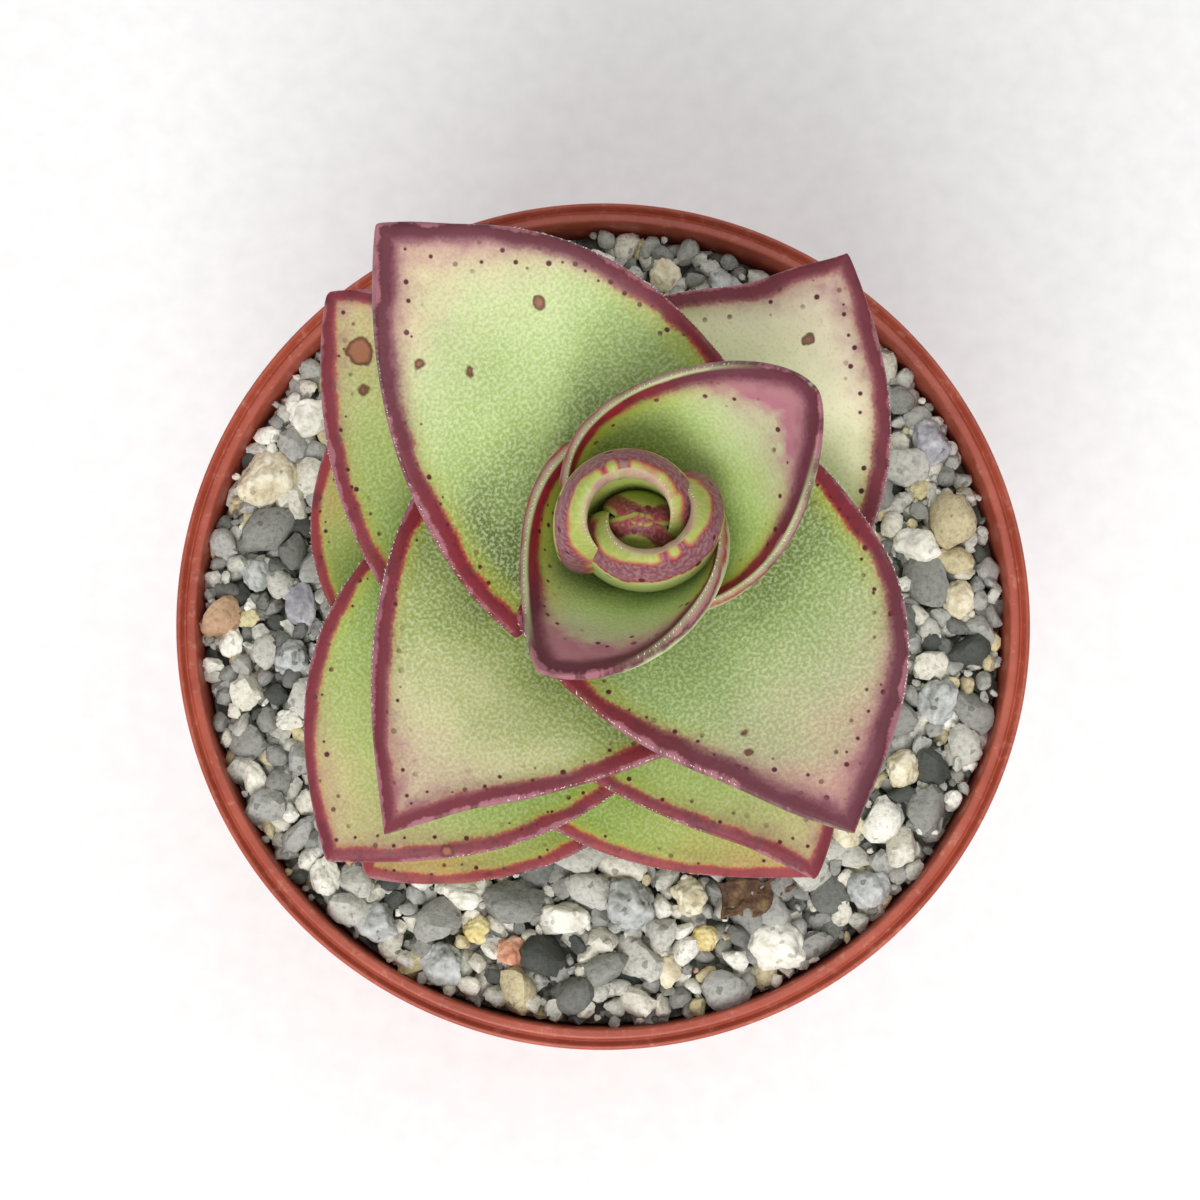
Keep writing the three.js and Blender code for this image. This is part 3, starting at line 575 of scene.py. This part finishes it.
def cilia(rows, margin, size, seed):
    """Cones along a margin: base ring of four points, tip outwards. They stand HAIR_STEP apart, with a few
    missing, and are HAIR_LENGTH long on a grown leaf, and `size` times that on a young one."""
    rng = np.random.default_rng(seed)
    line, out = rows[:, margin], rows[:, margin] - (rows[:, margin - 3] + rows[:, margin + 3]) / 2
    out /= np.linalg.norm(out, axis=1, keepdims=True)
    run = np.append(0, np.cumsum(np.linalg.norm(np.diff(line, axis=0), axis=1)))
    at = np.arange(run[-1] * HAIR_START, run[-1] * HAIR_END, HAIR_STEP)
    at = at + rng.uniform(-0.2, 0.2, len(at))
    at = at[rng.random(len(at)) < 0.85]
    root, out = (np.stack([np.interp(at, run, v[:, i]) for i in range(3)], -1) for v in (line, out))
    out = out + rng.normal(0, 0.18, out.shape)
    along = np.cross(out, [0.0, 0.0, 1.0])
    along /= np.linalg.norm(along, axis=1, keepdims=True)
    across = np.cross(out, along)
    thick = 0.03 + 0.03 * size
    ring = [root - 0.05 * out + thick * (along * math.cos(t) + across * math.sin(t))
            for t in np.radians([0, 90, 180, 270])]
    tip = root + out * size * rng.uniform(*HAIR_LENGTH, (len(at), 1))
    return np.stack([*ring, tip], 1)


cilia_white = cilia_finish()
STATIONS, AROUND = 110, 160
for name, leaf in LEAVES.items():
    origin = bezier(GUIDE, leaf["node"])[0]
    rows, points, flat, layers = leaf_skin(name, leaf, origin, STATIONS, AROUND)
    rows = np.concatenate([rows, rows[:, :4]], 1)
    faces = skin_faces(STATIONS, AROUND, flat_start=True)
    finish = SKINS[FINISH_OF.get(name[0], name)]
    piece = make_piece(f"leaf_{name}_skin", points, faces, finish, layers, flat)
    slot = "young_leaf" if name[0] in "abc" else "leaf"
    place_piece(piece, slot, f"leaf_{name}")
    cones = np.concatenate([cilia(rows, margin, leaf["hair"], ord(name[0]) + k)
                            for k, margin in enumerate((AROUND, AROUND // 2))])
    first = 5 * np.arange(len(cones))[:, None]
    sides = np.concatenate([first + [k, (k + 1) % 4, 4] for k in range(4)])
    bases = first + [3, 2, 1, 0]
    hairs = make_piece(f"leaf_{name}_cilia", cones, sides.tolist() + bases.tolist(), cilia_white)
    place_piece(hairs, slot)
print("cilia on the last leaf:", len(cones))

# %% [markdown]
# ## The stem
# The stem leans one way and comes back, so the bud ends up over the pot's middle. It is green above, brown
# and corky where it enters the grit, and ringed where old leaves left their scars. It is a tube on the same
# guide curve as the leaves.

# %% Stem
def stem_finish():
    """Young bark on a fleshy stem: matt, green turning brown in streaks."""
    material, tree = new_material("corky_stem")
    spot = add_node(tree, "TexCoord", out="Object")
    around, along = 1 / (1.2 * mm), 1 / (5 * mm)
    streak = add_node(tree, "Mapping", {"Vector": spot, "Scale": (around, around, along)})
    tone = add_node(tree, "TexNoise", {"Vector": streak, "Scale": 1.0, "Detail": 5})
    bark = add_node(tree, "ValToRGB", {"Fac": tone}, stops=[
        (0.35, colour("#5d6a34")), (0.5, colour("#84874a")), (0.65, colour("#8b6f47"))])
    normal = add_node(tree, "Bump", {"Height": tone, "Strength": 0.5, "Distance": 0.2 * mm})
    finish_with(tree, Base_Color=bark, Roughness=0.75, Normal=normal, IOR=1.45)
    return material


STEM_SIDES, STEM_RINGS, STEM_END, PLANTED = 48, 160, 0.955, 12
STEM_FOOT, STEM_TOP, SCAR, SCAR_STEP, BARK = 3.6, 1.7, 0.12, 0.06, 0.15  # mm, but the step is a share
share = np.linspace(0, STEM_END, STEM_RINGS)
centres = bezier(GUIDE, share)
radius = STEM_FOOT + (STEM_TOP - STEM_FOOT) * share + SCAR * np.sin(share * 2 * np.pi / SCAR_STEP)
centres = np.vstack([centres[0] - [0, 0, PLANTED], centres])
radius = np.append(STEM_FOOT, radius)
turn = 2 * np.pi * np.arange(STEM_SIDES) / STEM_SIDES
ring = np.stack([np.cos(turn), np.sin(turn), 0 * turn], -1)
rings = centres[:, None] + radius[:, None, None] * ring
rings += ring * BARK * ripple(rings, 3, 5)[..., None]
poles = [bezier(GUIDE, STEM_END)[0] + [0, 0, 0.8], centres[0]]
points = np.vstack([rings.reshape(-1, 3), poles])
stem = make_piece("stem_bark", points, skin_faces(len(rings), STEM_SIDES), stem_finish())
place_piece(stem, "stem", "stem")
print("stem, mm:", [round(v / mm, 1) for v in stem.dimensions])

# %% [markdown]
# ## The pot
# Nursery pots are moulded from thin polypropylene in terracotta colour. The rim is what shows: a small
# outer bead, a groove inside it, and a flat lip. A turned profile makes it all, with every corner eased to
# a small radius, because no moulded edge is sharp and a rounded one catches a line of light.

# %% Pot profile
pot_low, pot_high = (np.array(v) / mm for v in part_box("pot"))
RIM, HEIGHT = (pot_high[0] - pot_low[0]) / 2, pot_high[2]
FOOT, WALL, LIP_WIDTH, BEAD, LIP_DROP = 29, 1.0, 2.05, 0.42, 0.3
GROOVE_WIDTH, GROOVE_DEPTH, COLLAR_HEIGHT, COLLAR_DRAFT, COLLAR_STEP = 0.15, 0.35, 13, 0.5, 1.0
FLOOR, FOOT_RISE, FOOT_RING, EASE, AXIS = 1.2, 2.0, 1.6, 0.25, 0.5  # AXIS: radius where the poles close
lip = RIM - LIP_WIDTH
collar_foot, collar_inner = HEIGHT - COLLAR_HEIGHT, lip - COLLAR_DRAFT
body_inner = collar_inner - COLLAR_STEP
floor_top, floor_inner = FOOT_RISE + FLOOR, FOOT - WALL


def soften(corners, reach, steps=4):
    """Eases each corner of a profile: a quadratic curve from `reach` before it to `reach` after it."""
    corners = np.array(corners, float)
    out = [corners[0]]
    for before, here, after in zip(corners, corners[1:], corners[2:]):
        ways = [before - here, after - here]
        ends = [here + w * min(reach / np.linalg.norm(w), 0.45) for w in ways]
        t = np.linspace(0, 1, steps)[:, None]
        out += list((1 - t) ** 2 * ends[0] + 2 * t * (1 - t) * here + t ** 2 * ends[1])
    return np.array(out + [corners[-1]])


bead = [(RIM - BEAD + BEAD * math.cos(t), HEIGHT - BEAD + BEAD * math.sin(t))
        for t in np.radians([-90, -30, 30, 90])]
lip_top, groove = HEIGHT - LIP_DROP, RIM - 2 * BEAD
corners = [
    (AXIS, FOOT_RISE), (FOOT - FOOT_RING, FOOT_RISE), (FOOT - FOOT_RING, 0), (FOOT - FOOT_RING / 4, 0),
    (FOOT, FOOT_RING / 4), (body_inner + WALL, collar_foot - COLLAR_STEP),
    (collar_inner + WALL, collar_foot), (lip + WALL, HEIGHT - 2 * BEAD - WALL / 2), *bead,
    (groove, lip_top - GROOVE_DEPTH), (groove - GROOVE_WIDTH, lip_top - GROOVE_DEPTH),
    (groove - 2 * GROOVE_WIDTH, lip_top), (lip, lip_top), (collar_inner, collar_foot + WALL),
    (body_inner, collar_foot - COLLAR_STEP + WALL), (floor_inner, floor_top), (AXIS, floor_top),
]
profile = soften(corners, EASE)
print("pot profile:", len(profile), "points")

# %% [markdown]
# The plastic is coloured right through, so wear shows as dust, lime from the water and light scuffs, not as
# chipped paint. Noise at a few sizes gives all of these, and nothing has to be painted by hand.

# %% Pot finish
def pot_finish():
    """Moulded polypropylene: a dull waxy gloss, a fine skin texture, dust and lime marks, light scuffs."""
    material, tree = new_material("terracotta_polypropylene")
    spot = add_node(tree, "TexCoord", out="Object")
    fine = add_node(tree, "TexNoise", {"Vector": spot, "Scale": 1 / (0.35 * mm), "Detail": 2})
    cloud = add_node(tree, "TexNoise", {"Vector": spot, "Scale": 1 / (6 * mm), "Detail": 4,
                                        "Roughness": 0.6})
    scuff = add_node(tree, "TexNoise", {"Vector": spot, "Scale": 1 / (1.1 * mm), "Detail": 5,
                                        "Roughness": 0.7})
    body = add_node(tree, "ValToRGB", {"Fac": cloud}, stops=[
        (0.35, colour("#9b4331")), (0.5, colour("#a54b38")), (0.68, colour("#b05642"))])
    lime = add_node(tree, "MapRange", {"Value": scuff, "From Min": 0.55, "From Max": 0.75, "To Max": 0.4})
    body = add_node(tree, "Mix", {"Factor": lime, UNDER: body, OVER: colour("#dba593")}, **BLEND)
    grime = add_node(tree, "MapRange", {"Value": scuff, "From Min": 0.4, "From Max": 0.28, "To Max": 0.3})
    body = add_node(tree, "Mix", {"Factor": grime, UNDER: body, OVER: colour("#8a2f20")}, **BLEND)
    gloss = add_node(tree, "MapRange", {"Value": scuff, "From Min": 0.3, "From Max": 0.7, "To Min": 0.32,
                                        "To Max": 0.55})
    normal = add_node(tree, "Bump", {"Height": fine, "Strength": 0.25, "Distance": 0.05 * mm})
    finish_with(tree, Base_Color=body, Roughness=gloss, Normal=normal, IOR=1.49, Subsurface_Weight=0.08,
                Subsurface_Radius=(1.0, 0.3, 0.15), Subsurface_Scale=1 * mm)
    return material


def turned(profile, segments, first=0.0):
    """Rings of a turned shape, from radius and height, with the two poles on the axis. `first` is the
    angle of the first segment."""
    turn = first + 2 * np.pi * np.arange(segments) / segments
    rings = np.stack([profile[:, :1] * np.cos(turn), profile[:, :1] * np.sin(turn),
                      np.broadcast_to(profile[:, 1:], (len(profile), segments))], -1)
    return rings, np.vstack([rings.reshape(-1, 3), [0, 0, profile[-1, 1]], [0, 0, profile[0, 1]]])


POT_SEGMENTS, DRAIN_HOLES, DRAIN_RADIUS, DRAIN_CIRCLE = 256, 6, 1.8, 18
# a drill's sides, how far it passes the floor in mm, and its turn, which keeps it off the floor's seams
DRILL_SEGMENTS, DRILL_PAST, DRILL_TURN = 32, 2, 0.07
CREASE = math.radians(40)  # sharper edges than this are shaded as edges
drill_profile = np.array([(DRAIN_RADIUS, FOOT_RISE - DRILL_PAST), (DRAIN_RADIUS, floor_top + DRILL_PAST)])
rings, points = turned(profile, POT_SEGMENTS)
pot = make_piece("pot_shell", points, skin_faces(len(rings), POT_SEGMENTS), pot_finish())
drills = []
for hole in range(DRAIN_HOLES):
    turn = 2 * math.pi * hole / DRAIN_HOLES
    _, points = turned(drill_profile, DRILL_SEGMENTS, DRILL_TURN)
    drills.append(points + [DRAIN_CIRCLE * math.cos(turn), DRAIN_CIRCLE * math.sin(turn), 0])
size = len(drills[0])
faces = [[i + size * k for i in face] for k in range(DRAIN_HOLES) for face in skin_faces(2, DRILL_SEGMENTS)]
drill = make_piece("drills", np.vstack(drills), faces, pot.data.materials[0])
cut = pot.modifiers.new("drain_holes", "BOOLEAN")
cut.object, cut.solver = drill, "EXACT"
holed = bpy.data.meshes.new_from_object(pot.evaluated_get(bpy.context.evaluated_depsgraph_get()))
pot.modifiers.clear()
pot.data = holed
pot.data.set_sharp_from_angle(angle=CREASE)
bpy.data.objects.remove(drill)
place_piece(pot, "pot_plastic", "pot")
print("pot, mm:", [round(v / mm, 1) for v in pot.dimensions], len(pot.data.polygons), "faces")

# %% [markdown]
# ## The grit
# The top dressing is crushed pumice and granite: pale grains of 2 to 6 mm, with dark gaps between them. A
# bumpy sheet would look like porridge, so there are real grains. They lie in layers, the finest at the top
# in the gaps, over a bed painted dark as the shade in those gaps. Thirty bigger stones stand where the CAD
# has them.

# %% Grit bed
def bed_finish():
    """Fine grit under the grains, painted dark grey-green as the shade in the gaps between them, with grains
    of sand.
    """
    material, tree = new_material("gap_shade_sand")
    spot = add_node(tree, "TexCoord", out="Object")
    sand = add_node(tree, "TexVoronoi", {"Vector": spot, "Scale": 1 / (0.7 * mm)})
    # painted shade: the bed's dark grey-green stands for the shade between the grains
    tone = add_node(tree, "ValToRGB", {"Fac": sand.node.outputs["Color"]}, stops=[
        (0.2, colour("#4b4f48")), (0.6, colour("#6c6f66")), (0.9, colour("#96968a"))])
    normal = add_node(tree, "Bump", {"Height": sand, "Strength": 0.8, "Distance": 0.4 * mm,
                                     "Normal": (0, 0, 0)})
    normal.node.invert = True
    finish_with(tree, Base_Color=tone, Roughness=0.9, Normal=normal)
    return material


GAP, BED_DEPTH, BED_RINGS, BED_SEGMENTS = 0.3, 1.4, 40, 144  # mm to the pot, mm under the grit's top
BUMP, BUMP_SIZE = 0.35, 4  # mm
collar_share = (GRIT_TOP - collar_foot - WALL) / (HEIGHT - LIP_DROP - collar_foot - WALL)
bed_inner = collar_inner + (lip - collar_inner) * collar_share
bed_edge = GRIT_TOP - BED_DEPTH - 0.2
bed_profile = soften([
    (AXIS, floor_top + GAP), (floor_inner - GAP, floor_top + GAP),
    (body_inner - GAP, collar_foot - COLLAR_STEP + WALL), (collar_inner - GAP, collar_foot + WALL + GAP),
    (bed_inner - GAP, bed_edge),
    *((r, GRIT_TOP - BED_DEPTH) for r in np.linspace(bed_inner - 4 * GAP, AXIS, BED_RINGS)),
], GAP, 3)
rings, points = turned(bed_profile, BED_SEGMENTS)
sand = points[:, 2] > bed_edge + 0.05
points[sand, 2] += BUMP * ripple(points[sand], BUMP_SIZE, 11)
bed = make_piece("grit_bed", points, skin_faces(len(rings), BED_SEGMENTS), bed_finish())
place_piece(bed, "grit", "substrate")
print("bed radius, mm:", round(bed_inner, 2))

# %% [markdown]
# Crushed stone breaks along flat faces, so its grains are angular, with dulled corners. A particle system
# could strew copies of a few stones. Here every grain is cut by planes of its own, and all grains are one
# array, so thousands of them cost little. Each layer keeps clear of what lies there already.

# %% Grains
def ball(cells):
    """A ball from a cube with `cells` faces along each edge: points pushed out to radius 1, and quads."""
    line = np.tan(np.linspace(-np.pi / 4, np.pi / 4, cells + 1))
    u, v = np.meshgrid(line, line, indexing="ij")
    one, points = np.ones_like(u), []
    for axis in range(3):
        for sign in (1, -1):
            sheet = np.stack([sign * one, u, sign * v], -1)
            points.append(np.roll(sheet, axis, -1).reshape(-1, 3))
    points = np.vstack(points)
    i, j = np.meshgrid(np.arange(cells), np.arange(cells), indexing="ij")
    low = (i * (cells + 1) + j).reshape(-1)
    quad = np.stack([low, low + cells + 1, low + cells + 2, low + 1], -1)
    quads = np.vstack([quad + k * (cells + 1) ** 2 for k in range(6)])
    _, first, same = np.unique(points.round(6), axis=0, return_index=True, return_inverse=True)
    points = points[first] / np.linalg.norm(points[first], axis=1, keepdims=True)
    return points, same.reshape(-1)[quads]


def turns(rng, count, tilt):
    """Random turns as matrices: any way round the vertical, then tipped by up to `tilt` radians."""
    spin = rng.uniform(0, 2 * np.pi, count)
    lean = rng.normal(0, tilt, count)
    way = rng.uniform(0, 2 * np.pi, count)
    zero, one = np.zeros(count), np.ones(count)

    def about(angle, upright):
        c, s = np.cos(angle), np.sin(angle)
        rows = [[one, zero, zero], [zero, c, -s], [zero, s, c]]
        if upright:
            rows = [[c, -s, zero], [s, c, zero], [zero, zero, one]]
        return np.array(rows).transpose(2, 0, 1)
    return about(way, True) @ about(lean, False) @ about(spin, True)


PALETTE = [("#f7f4ea", 0.11), ("#e6e1d3", 0.14), ("#cdcbc2", 0.18), ("#b2b1ac", 0.18), ("#989792", 0.15),
           ("#787974", 0.07), ("#50534e", 0.03), ("#d3c5a0", 0.05), ("#e0d4a6", 0.03), ("#c9a484", 0.01)]
SQUASH = (0.95, 1.25), (0.75, 1.0), (0.6, 0.9)  # a grain's length, width and height as shares of its size
# planes, how far out they cut, growth that makes up for it, roughness, tilt in radians, mm of deepest grain
CUTS, CUT_REACH, REGAIN, ROUGH, TILT, GRIT_DEPTH = 7, (0.5, 0.88), 1.24, 0.08, 0.5, 3.5


def scatter(rng, count, small, large, level, spread, taken, closeness):
    """Drops grains one by one where none is yet: a grain is kept if its distance from each one before is
    `closeness` times their two radii or more. The radii run from small to large, mostly small."""
    kept = list(taken)
    new = []
    for _ in range(count):
        size = small + (large - small) * rng.random() ** 1.8
        reach = (bed_inner - 0.9 * size) * math.sqrt(rng.random())
        turn = rng.uniform(0, 2 * math.pi)
        spot = (reach * math.cos(turn), reach * math.sin(turn), level + rng.uniform(-spread, spread), size)
        near = np.array(kept) if kept else np.zeros((0, 4))
        gaps = np.hypot(near[:, 0] - spot[0], near[:, 1] - spot[1])
        if (gaps < closeness * (near[:, 3] + size)).any():
            continue
        kept.append(spot)
        new.append(spot)
    return np.array(new)


def grain_mesh(rng, spots, cells):
    """All grains as one array: a ball squashed on three axes and cut by CUTS planes (each point moves in
    to the nearest plane), its points knocked in and out a little, then turned."""
    points, quads = ball(cells)
    count = len(spots)
    squash = np.stack([rng.uniform(*between, count) for between in SQUASH], -1)
    cuts = rng.normal(size=(count, 3, CUTS))
    cuts /= np.linalg.norm(cuts, axis=1, keepdims=True)
    facet = rng.uniform(*CUT_REACH, (count, 1, CUTS)) / np.maximum(points @ cuts, 0.05)
    knock = 1 + rng.uniform(-ROUGH, ROUGH, (count, len(points), 1))
    knock = np.minimum(facet.min(-1, keepdims=True), 1) * knock
    grains = (points * REGAIN * knock * squash[:, None]) @ turns(rng, count, TILT).transpose(0, 2, 1)
    grains = grains * spots[:, None, 3:] + spots[:, None, :3]
    grains[..., 2] = np.maximum(grains[..., 2], GRIT_TOP - GRIT_DEPTH)
    faces = (quads + len(points) * np.arange(count)[:, None, None]).reshape(-1, 4)
    shades = np.array([colour(code) for code, _ in PALETTE])
    chance = np.array([c for _, c in PALETTE])
    pick = rng.choice(len(PALETTE), count, p=chance / chance.sum())
    tint = np.repeat(shades[pick], len(points), 0)
    return grains, faces.tolist(), tint


def grain_finish():
    """Crushed stone: matt, with pits and crystals; the pits are painted darker, as painted shade. Each grain
    has its own tint, a layer on the mesh.
    """
    material, tree = new_material("crushed_stone")
    spot = add_node(tree, "TexCoord", out="Object")
    tint = add_node(tree, "Attribute", out="Color", attribute_name="tint")
    pits = add_node(tree, "TexNoise", {"Vector": spot, "Scale": 1 / (0.5 * mm), "Detail": 4,
                                       "Roughness": 0.65})
    flecks = add_node(tree, "TexVoronoi", {"Vector": spot, "Scale": 1 / (0.6 * mm)})
    # painted shade: darker where the pits noise is low, in the hollows that the bump below makes
    shade = add_node(tree, "ValToRGB", {"Fac": pits}, stops=[
        (0.3, colour("#adada8")), (0.46, colour("#e9e9e6")), (0.6, colour("#ffffff"))])
    stone = add_node(tree, "Mix", {"Factor": 0.75, UNDER: tint, OVER: shade}, **BLEND, blend_type="MULTIPLY")
    fleck = add_node(tree, "MapRange", {"Value": flecks.node.outputs["Color"], "From Min": 0.86,
                                        "From Max": 0.92, "To Max": 0.55})
    stone = add_node(tree, "Mix", {"Factor": fleck, UNDER: stone, OVER: colour("#4b4d48")}, **BLEND)
    normal = add_node(tree, "Bump", {"Height": pits, "Strength": 0.7, "Distance": 0.25 * mm})
    finish_with(tree, Base_Color=stone, Roughness=0.75, Normal=normal, IOR=1.5, Specular_IOR_Level=0.4,
                Subsurface_Weight=0.1, Subsurface_Radius=(1, 1, 0.9), Subsurface_Scale=0.6 * mm)
    return material


rng = np.random.default_rng(20)
stones = []
for name in sorted(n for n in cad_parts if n.startswith("pebble_")):
    low, high = (np.array(v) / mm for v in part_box(name))
    stones.append((*(low + high)[:2] / 2, GRIT_TOP, (high - low)[:2].mean() / 2))
grain_stone = grain_finish()
# tries, smallest and largest radius, level and how far it varies, in mm
deep = scatter(rng, 7000, 0.9, 1.8, GRIT_TOP - 0.9, 0.3, [], 0.66)
coarse = scatter(rng, 700, 1.7, 2.7, GRIT_TOP + 0.3, 0.3, stones, 0.78)
medium = scatter(rng, 9000, 0.8, 1.8, GRIT_TOP + 0.1, 0.4, [*stones, *coarse.tolist()], 0.76)
upper = np.vstack([coarse, medium])
crumbs = scatter(rng, 4000, 0.35, 0.75, GRIT_TOP + 0.3, 0.4, [*stones, *upper.tolist()], 0.76)
for name, spots, cells in (("grit_deep", deep, 2), ("grit_upper", upper, 4), ("grit_crumbs", crumbs, 2)):
    grains, faces, tint = grain_mesh(rng, spots, cells)
    piece = make_piece(name, grains, faces, grain_stone, {"tint": tint})
    piece.data.set_sharp_from_angle(angle=CREASE)
    place_piece(piece, "grit")
    print(name, len(spots), "grains")

# %% [markdown]
# Some stones are big enough to have a look of their own: pale and yellow pumice, speckled granite, pink
# feldspar and smoky quartz. They take their place, size and turn from the CAD and get crisper facets.

# %% Big stones
def stone_finish(name, light, mid, dark, speck, roughness, depth):
    """A weathered stone: three tones in patches, dark mineral specks of 0.3 mm, pits of 0.5 mm."""
    material, tree = new_material(name)
    spot = add_node(tree, "TexCoord", out="Object")
    patch = add_node(tree, "TexNoise", {"Vector": spot, "Scale": 1 / (1.8 * mm), "Detail": 5,
                                        "Roughness": 0.65})
    pits = add_node(tree, "TexVoronoi", {"Vector": spot, "Scale": 1 / (0.5 * mm)}, feature="SMOOTH_F1")
    specks = add_node(tree, "TexVoronoi", {"Vector": spot, "Scale": 1 / (0.45 * mm)})
    stone = add_node(tree, "ValToRGB", {"Fac": patch}, stops=[
        (0.34, colour(dark)), (0.5, colour(mid)), (0.64, colour(light))])
    some = add_node(tree, "MapRange", {"Value": specks.node.outputs["Color"], "From Min": 0.84,
                                       "From Max": 0.9, "To Max": 0.7})
    stone = add_node(tree, "Mix", {"Factor": some, UNDER: stone, OVER: colour(speck)}, **BLEND)
    height = add_node(tree, "Math", {0: patch, 1: pits}, operation="ADD")
    normal = add_node(tree, "Bump", {"Height": height, "Strength": 0.6, "Distance": 0.2 * mm})
    finish_with(tree, Base_Color=stone, Roughness=roughness, Normal=normal, IOR=1.5, Subsurface_Weight=depth,
                Subsurface_Radius=(1, 1, 1), Subsurface_Scale=1 * mm)
    return material


STONES = {
    "white": stone_finish("white_pumice", "#fbf8ee", "#eeeadd", "#c9c5b8", "#a9a79e", 0.8, 0.15),
    "cream": stone_finish("cream_pumice", "#f3ecd6", "#e0d5b8", "#bfb08e", "#8f8570", 0.8, 0.15),
    "grey": stone_finish("grey_granite", "#cfd0cd", "#b3b5b3", "#84877f", "#4c4f4a", 0.65, 0.1),
    "pink": stone_finish("pink_feldspar", "#e8c0a6", "#d49a7c", "#b87858", "#8a5a48", 0.7, 0.1),
    "lilac": stone_finish("smoky_quartz", "#cdcbd0", "#aeabb2", "#8b8890", "#6c6a70", 0.35, 0.35),
    "yellow": stone_finish("yellow_pumice", "#f2e6b4", "#e2cf90", "#bfa868", "#8f8050", 0.8, 0.15),
}


STONE_CELLS, STONE_CUTS, STONE_REACH, STONE_REGAIN = 22, 11, (0.62, 0.92), 1.1
HARDNESS = 26  # how crisp the edges between the facets are


def big_stone(name, seed):
    """A ball fitted to the CAD stone's long axes and cut by STONE_CUTS planes. Its radius is a soft
    minimum of their distances, -log(sum of e^(-hardness * distance)) / hardness, with pits on top."""
    rng = np.random.default_rng(seed)
    solid = np.array([v.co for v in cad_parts[name].data.vertices]) / mm
    middle = (solid.min(0) + solid.max(0)) / 2
    spread, axes = np.linalg.eigh(np.cov((solid - middle).T))
    if np.linalg.det(axes) < 0:
        axes[:, 0] *= -1
    size = np.abs((solid - middle) @ axes).max(0)
    points, quads = ball(STONE_CELLS)
    cuts = rng.normal(size=(STONE_CUTS, 3))
    cuts /= np.linalg.norm(cuts, axis=1, keepdims=True)
    reach = rng.uniform(*STONE_REACH, STONE_CUTS) / np.maximum(points @ cuts.T, 0.05)
    reach = np.concatenate([reach, np.ones((len(points), 1))], 1)
    radius = -np.log(np.exp(-HARDNESS * reach).sum(1)) / HARDNESS
    pits = 0.05 * ripple(points, 0.6, seed) + 0.02 * ripple(points, 0.18, seed)
    radius = radius / radius.max() * (1 + pits)
    shape = (points * radius[:, None] * size * STONE_REGAIN) @ axes.T + middle
    return shape, quads.tolist()


for seed, name in enumerate(sorted(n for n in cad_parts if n.startswith("pebble_"))):
    shape, faces = big_stone(name, seed)
    kind = name.split("_")[1]
    place_piece(make_piece(name + "_stone", shape, faces, STONES[kind]), "pebble_" + kind, name)
print("big stones:", seed + 1)

# %% [markdown]
# ## The fallen leaf
# A dead leaf lies on the grit at the front, brown and shrivelled. It has the living leaf's plan, but thin
# and crumpled.

# %% Fallen leaf
def dead_finish():
    """Dried leaf: brown, veined and matt."""
    material, tree = new_material("dried_leaf")
    spot = add_node(tree, "TexCoord", out="Object")
    tone = add_node(tree, "TexNoise", {"Vector": spot, "Scale": 1 / (1.2 * mm), "Detail": 6,
                                       "Roughness": 0.7})
    brown = add_node(tree, "ValToRGB", {"Fac": tone}, stops=[
        (0.3, colour("#33221a")), (0.5, colour("#5f4330")), (0.68, colour("#8d7350"))])
    normal = add_node(tree, "Bump", {"Height": tone, "Strength": 0.8, "Distance": 0.3 * mm})
    finish_with(tree, Base_Color=brown, Roughness=0.85, Normal=normal)
    return material


DEAD_PLACE = np.array([11.6, -28.0, GRIT_TOP + 1.2])
CRUMPLE, CRUMPLE_SIZE = 0.3, 1.6  # mm
DEAD_STATIONS, DEAD_AROUND = 60, 64
DEAD = dict(zip(KEYS, (0, 6, 10, 7.5, (1.9, 2.5, 0.9), (1.9, 2.5, 0.9),
                       (6, -6), (2.4, 3), 0, 10, 0.8, 1, 0, 1)))
_, points, _, _ = leaf_skin("dead", DEAD, DEAD_PLACE, DEAD_STATIONS, DEAD_AROUND)
points = points + CRUMPLE * np.stack([ripple(points, CRUMPLE_SIZE, seed) for seed in (3, 4, 5)], -1)
faces = skin_faces(DEAD_STATIONS, DEAD_AROUND, flat_start=True)
dead = make_piece("dry_leaf_skin", points, faces, dead_finish())
place_piece(dead, "dry_leaf", "dry_leaf")
print("dead leaf, mm:", [round(v / mm, 1) for v in dead.dimensions])

# %% [markdown]
# ## The table
# A plain pale table top carries the pot. It isn't part of the object.

# %% Table
def table_finish():
    """White laminate: even and matt, with a faint grain."""
    material, tree = new_material("white_table")
    spot = add_node(tree, "TexCoord", out="Object")
    tone = add_node(tree, "TexNoise", {"Vector": spot, "Scale": 1 / (3 * mm)})
    white = add_node(tree, "ValToRGB", {"Fac": tone}, stops=[
        (0.3, colour("#f4f4f4")), (0.7, colour("#fafafa"))])
    finish_with(tree, Base_Color=white, Roughness=0.8)
    return material


HALF = 3000  # mm
corners = [(-HALF, -HALF, 0), (HALF, -HALF, 0), (HALF, HALF, 0), (-HALF, HALF, 0)]
table = make_piece("table", corners, [(0, 1, 2, 3)], table_finish())
print("table at z = 0")
